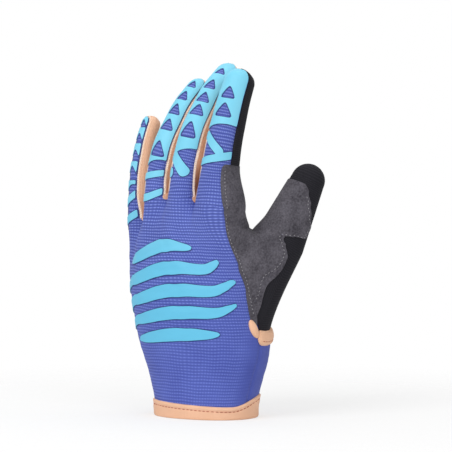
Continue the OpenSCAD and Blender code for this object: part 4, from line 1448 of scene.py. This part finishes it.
binding_row = stitches("palm_binding_stitches", lambda t: binding_path(0.02 + 0.97 * t),
                       lambda t: binding_out(0.02 + 0.97 * t), TAPE_ROW, rust_thread)
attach(binding_row, "hand")

# %% [markdown]
# ## Stage and light
# A pale floor and a white surround, with broad soft lights from both sides and a little from above, as in
# a catalogue picture. The floor fades out with distance, so that it has no edge. The surround shows as
# white to the camera, but lights the glove at a plain level.

# %% Floor
FLOOR_GREY, FLOOR_GLOW, FADE_FROM = (0.92, 0.92, 0.92, 1.0), 0.6, 0.1
floor_bm = bmesh.new()
bmesh.ops.create_grid(floor_bm, x_segments=1, y_segments=1, size=3.0)
floor_mesh = bpy.data.meshes.new("floor")
floor_bm.to_mesh(floor_mesh)
floor_bm.free()
floor = bpy.data.objects.new("floor", floor_mesh)
bpy.context.scene.collection.objects.link(floor)
floor_finish = Finish("pale_floor", 0.9)
floor_finish.put(floor_finish.shader.inputs["Base Color"], FLOOR_GREY)
spot = floor_finish.node("ShaderNodeTexCoord", out=3)
far = floor_finish.node("ShaderNodeVectorMath", {"operation": "LENGTH"}, {0: spot}, 1)
clear = floor_finish.node("ShaderNodeBsdfTransparent")
glow = floor_finish.node("ShaderNodeEmission", None, {"Strength": 1.0})
lit = Value(floor_finish, floor_finish.shader.outputs[0])
whole = floor_finish.node("ShaderNodeMixShader", None, {0: floor_finish.seen() * FLOOR_GLOW, 1: lit, 2: glow})
fade = ((far - FADE_FROM) * 4.0).between()
faded = floor_finish.node("ShaderNodeMixShader", None, {0: fade, 1: whole, 2: clear})
floor_finish.put(floor_finish.tree.nodes["Material Output"].inputs["Surface"], faded)
floor_mesh.materials.append(floor_finish.material)
print("floor", floor.name, "fades from", FADE_FROM, "m")

# %% Surround and lights
LIGHT_LEVEL, LIGHT_AT, LIGHT_SIZE = 0.48, Vector((0, 0, 0.1)), 0.9
world = bpy.data.worlds.new("studio")
bpy.context.scene.world = world
world.use_nodes = True
surround = Nodes(world.node_tree)
background = world.node_tree.nodes["Background"]
surround.put(background.inputs["Color"], (1.0, 1.0, 1.0, 1.0))
surround.put(background.inputs["Strength"], LIGHT_LEVEL + (1 - LIGHT_LEVEL) * surround.seen())


def soft_light(name, place, power):
    lamp = bpy.data.lights.new(name, "AREA")
    lamp.size = LIGHT_SIZE
    lamp.energy = power
    light = bpy.data.objects.new(name, lamp)
    bpy.context.scene.collection.objects.link(light)
    light.location = place
    light.rotation_euler = (LIGHT_AT - Vector(place)).to_track_quat("-Z", "Y").to_euler()


soft_light("key", (-0.3, -1.2, 0.9), 11.5)
soft_light("fill", (1.2, -0.9, 0.6), 6.5)
soft_light("top", (0.0, 0.2, 1.4), 4.5)
bpy.context.scene.view_settings.view_transform = "Standard"
print("stage set")
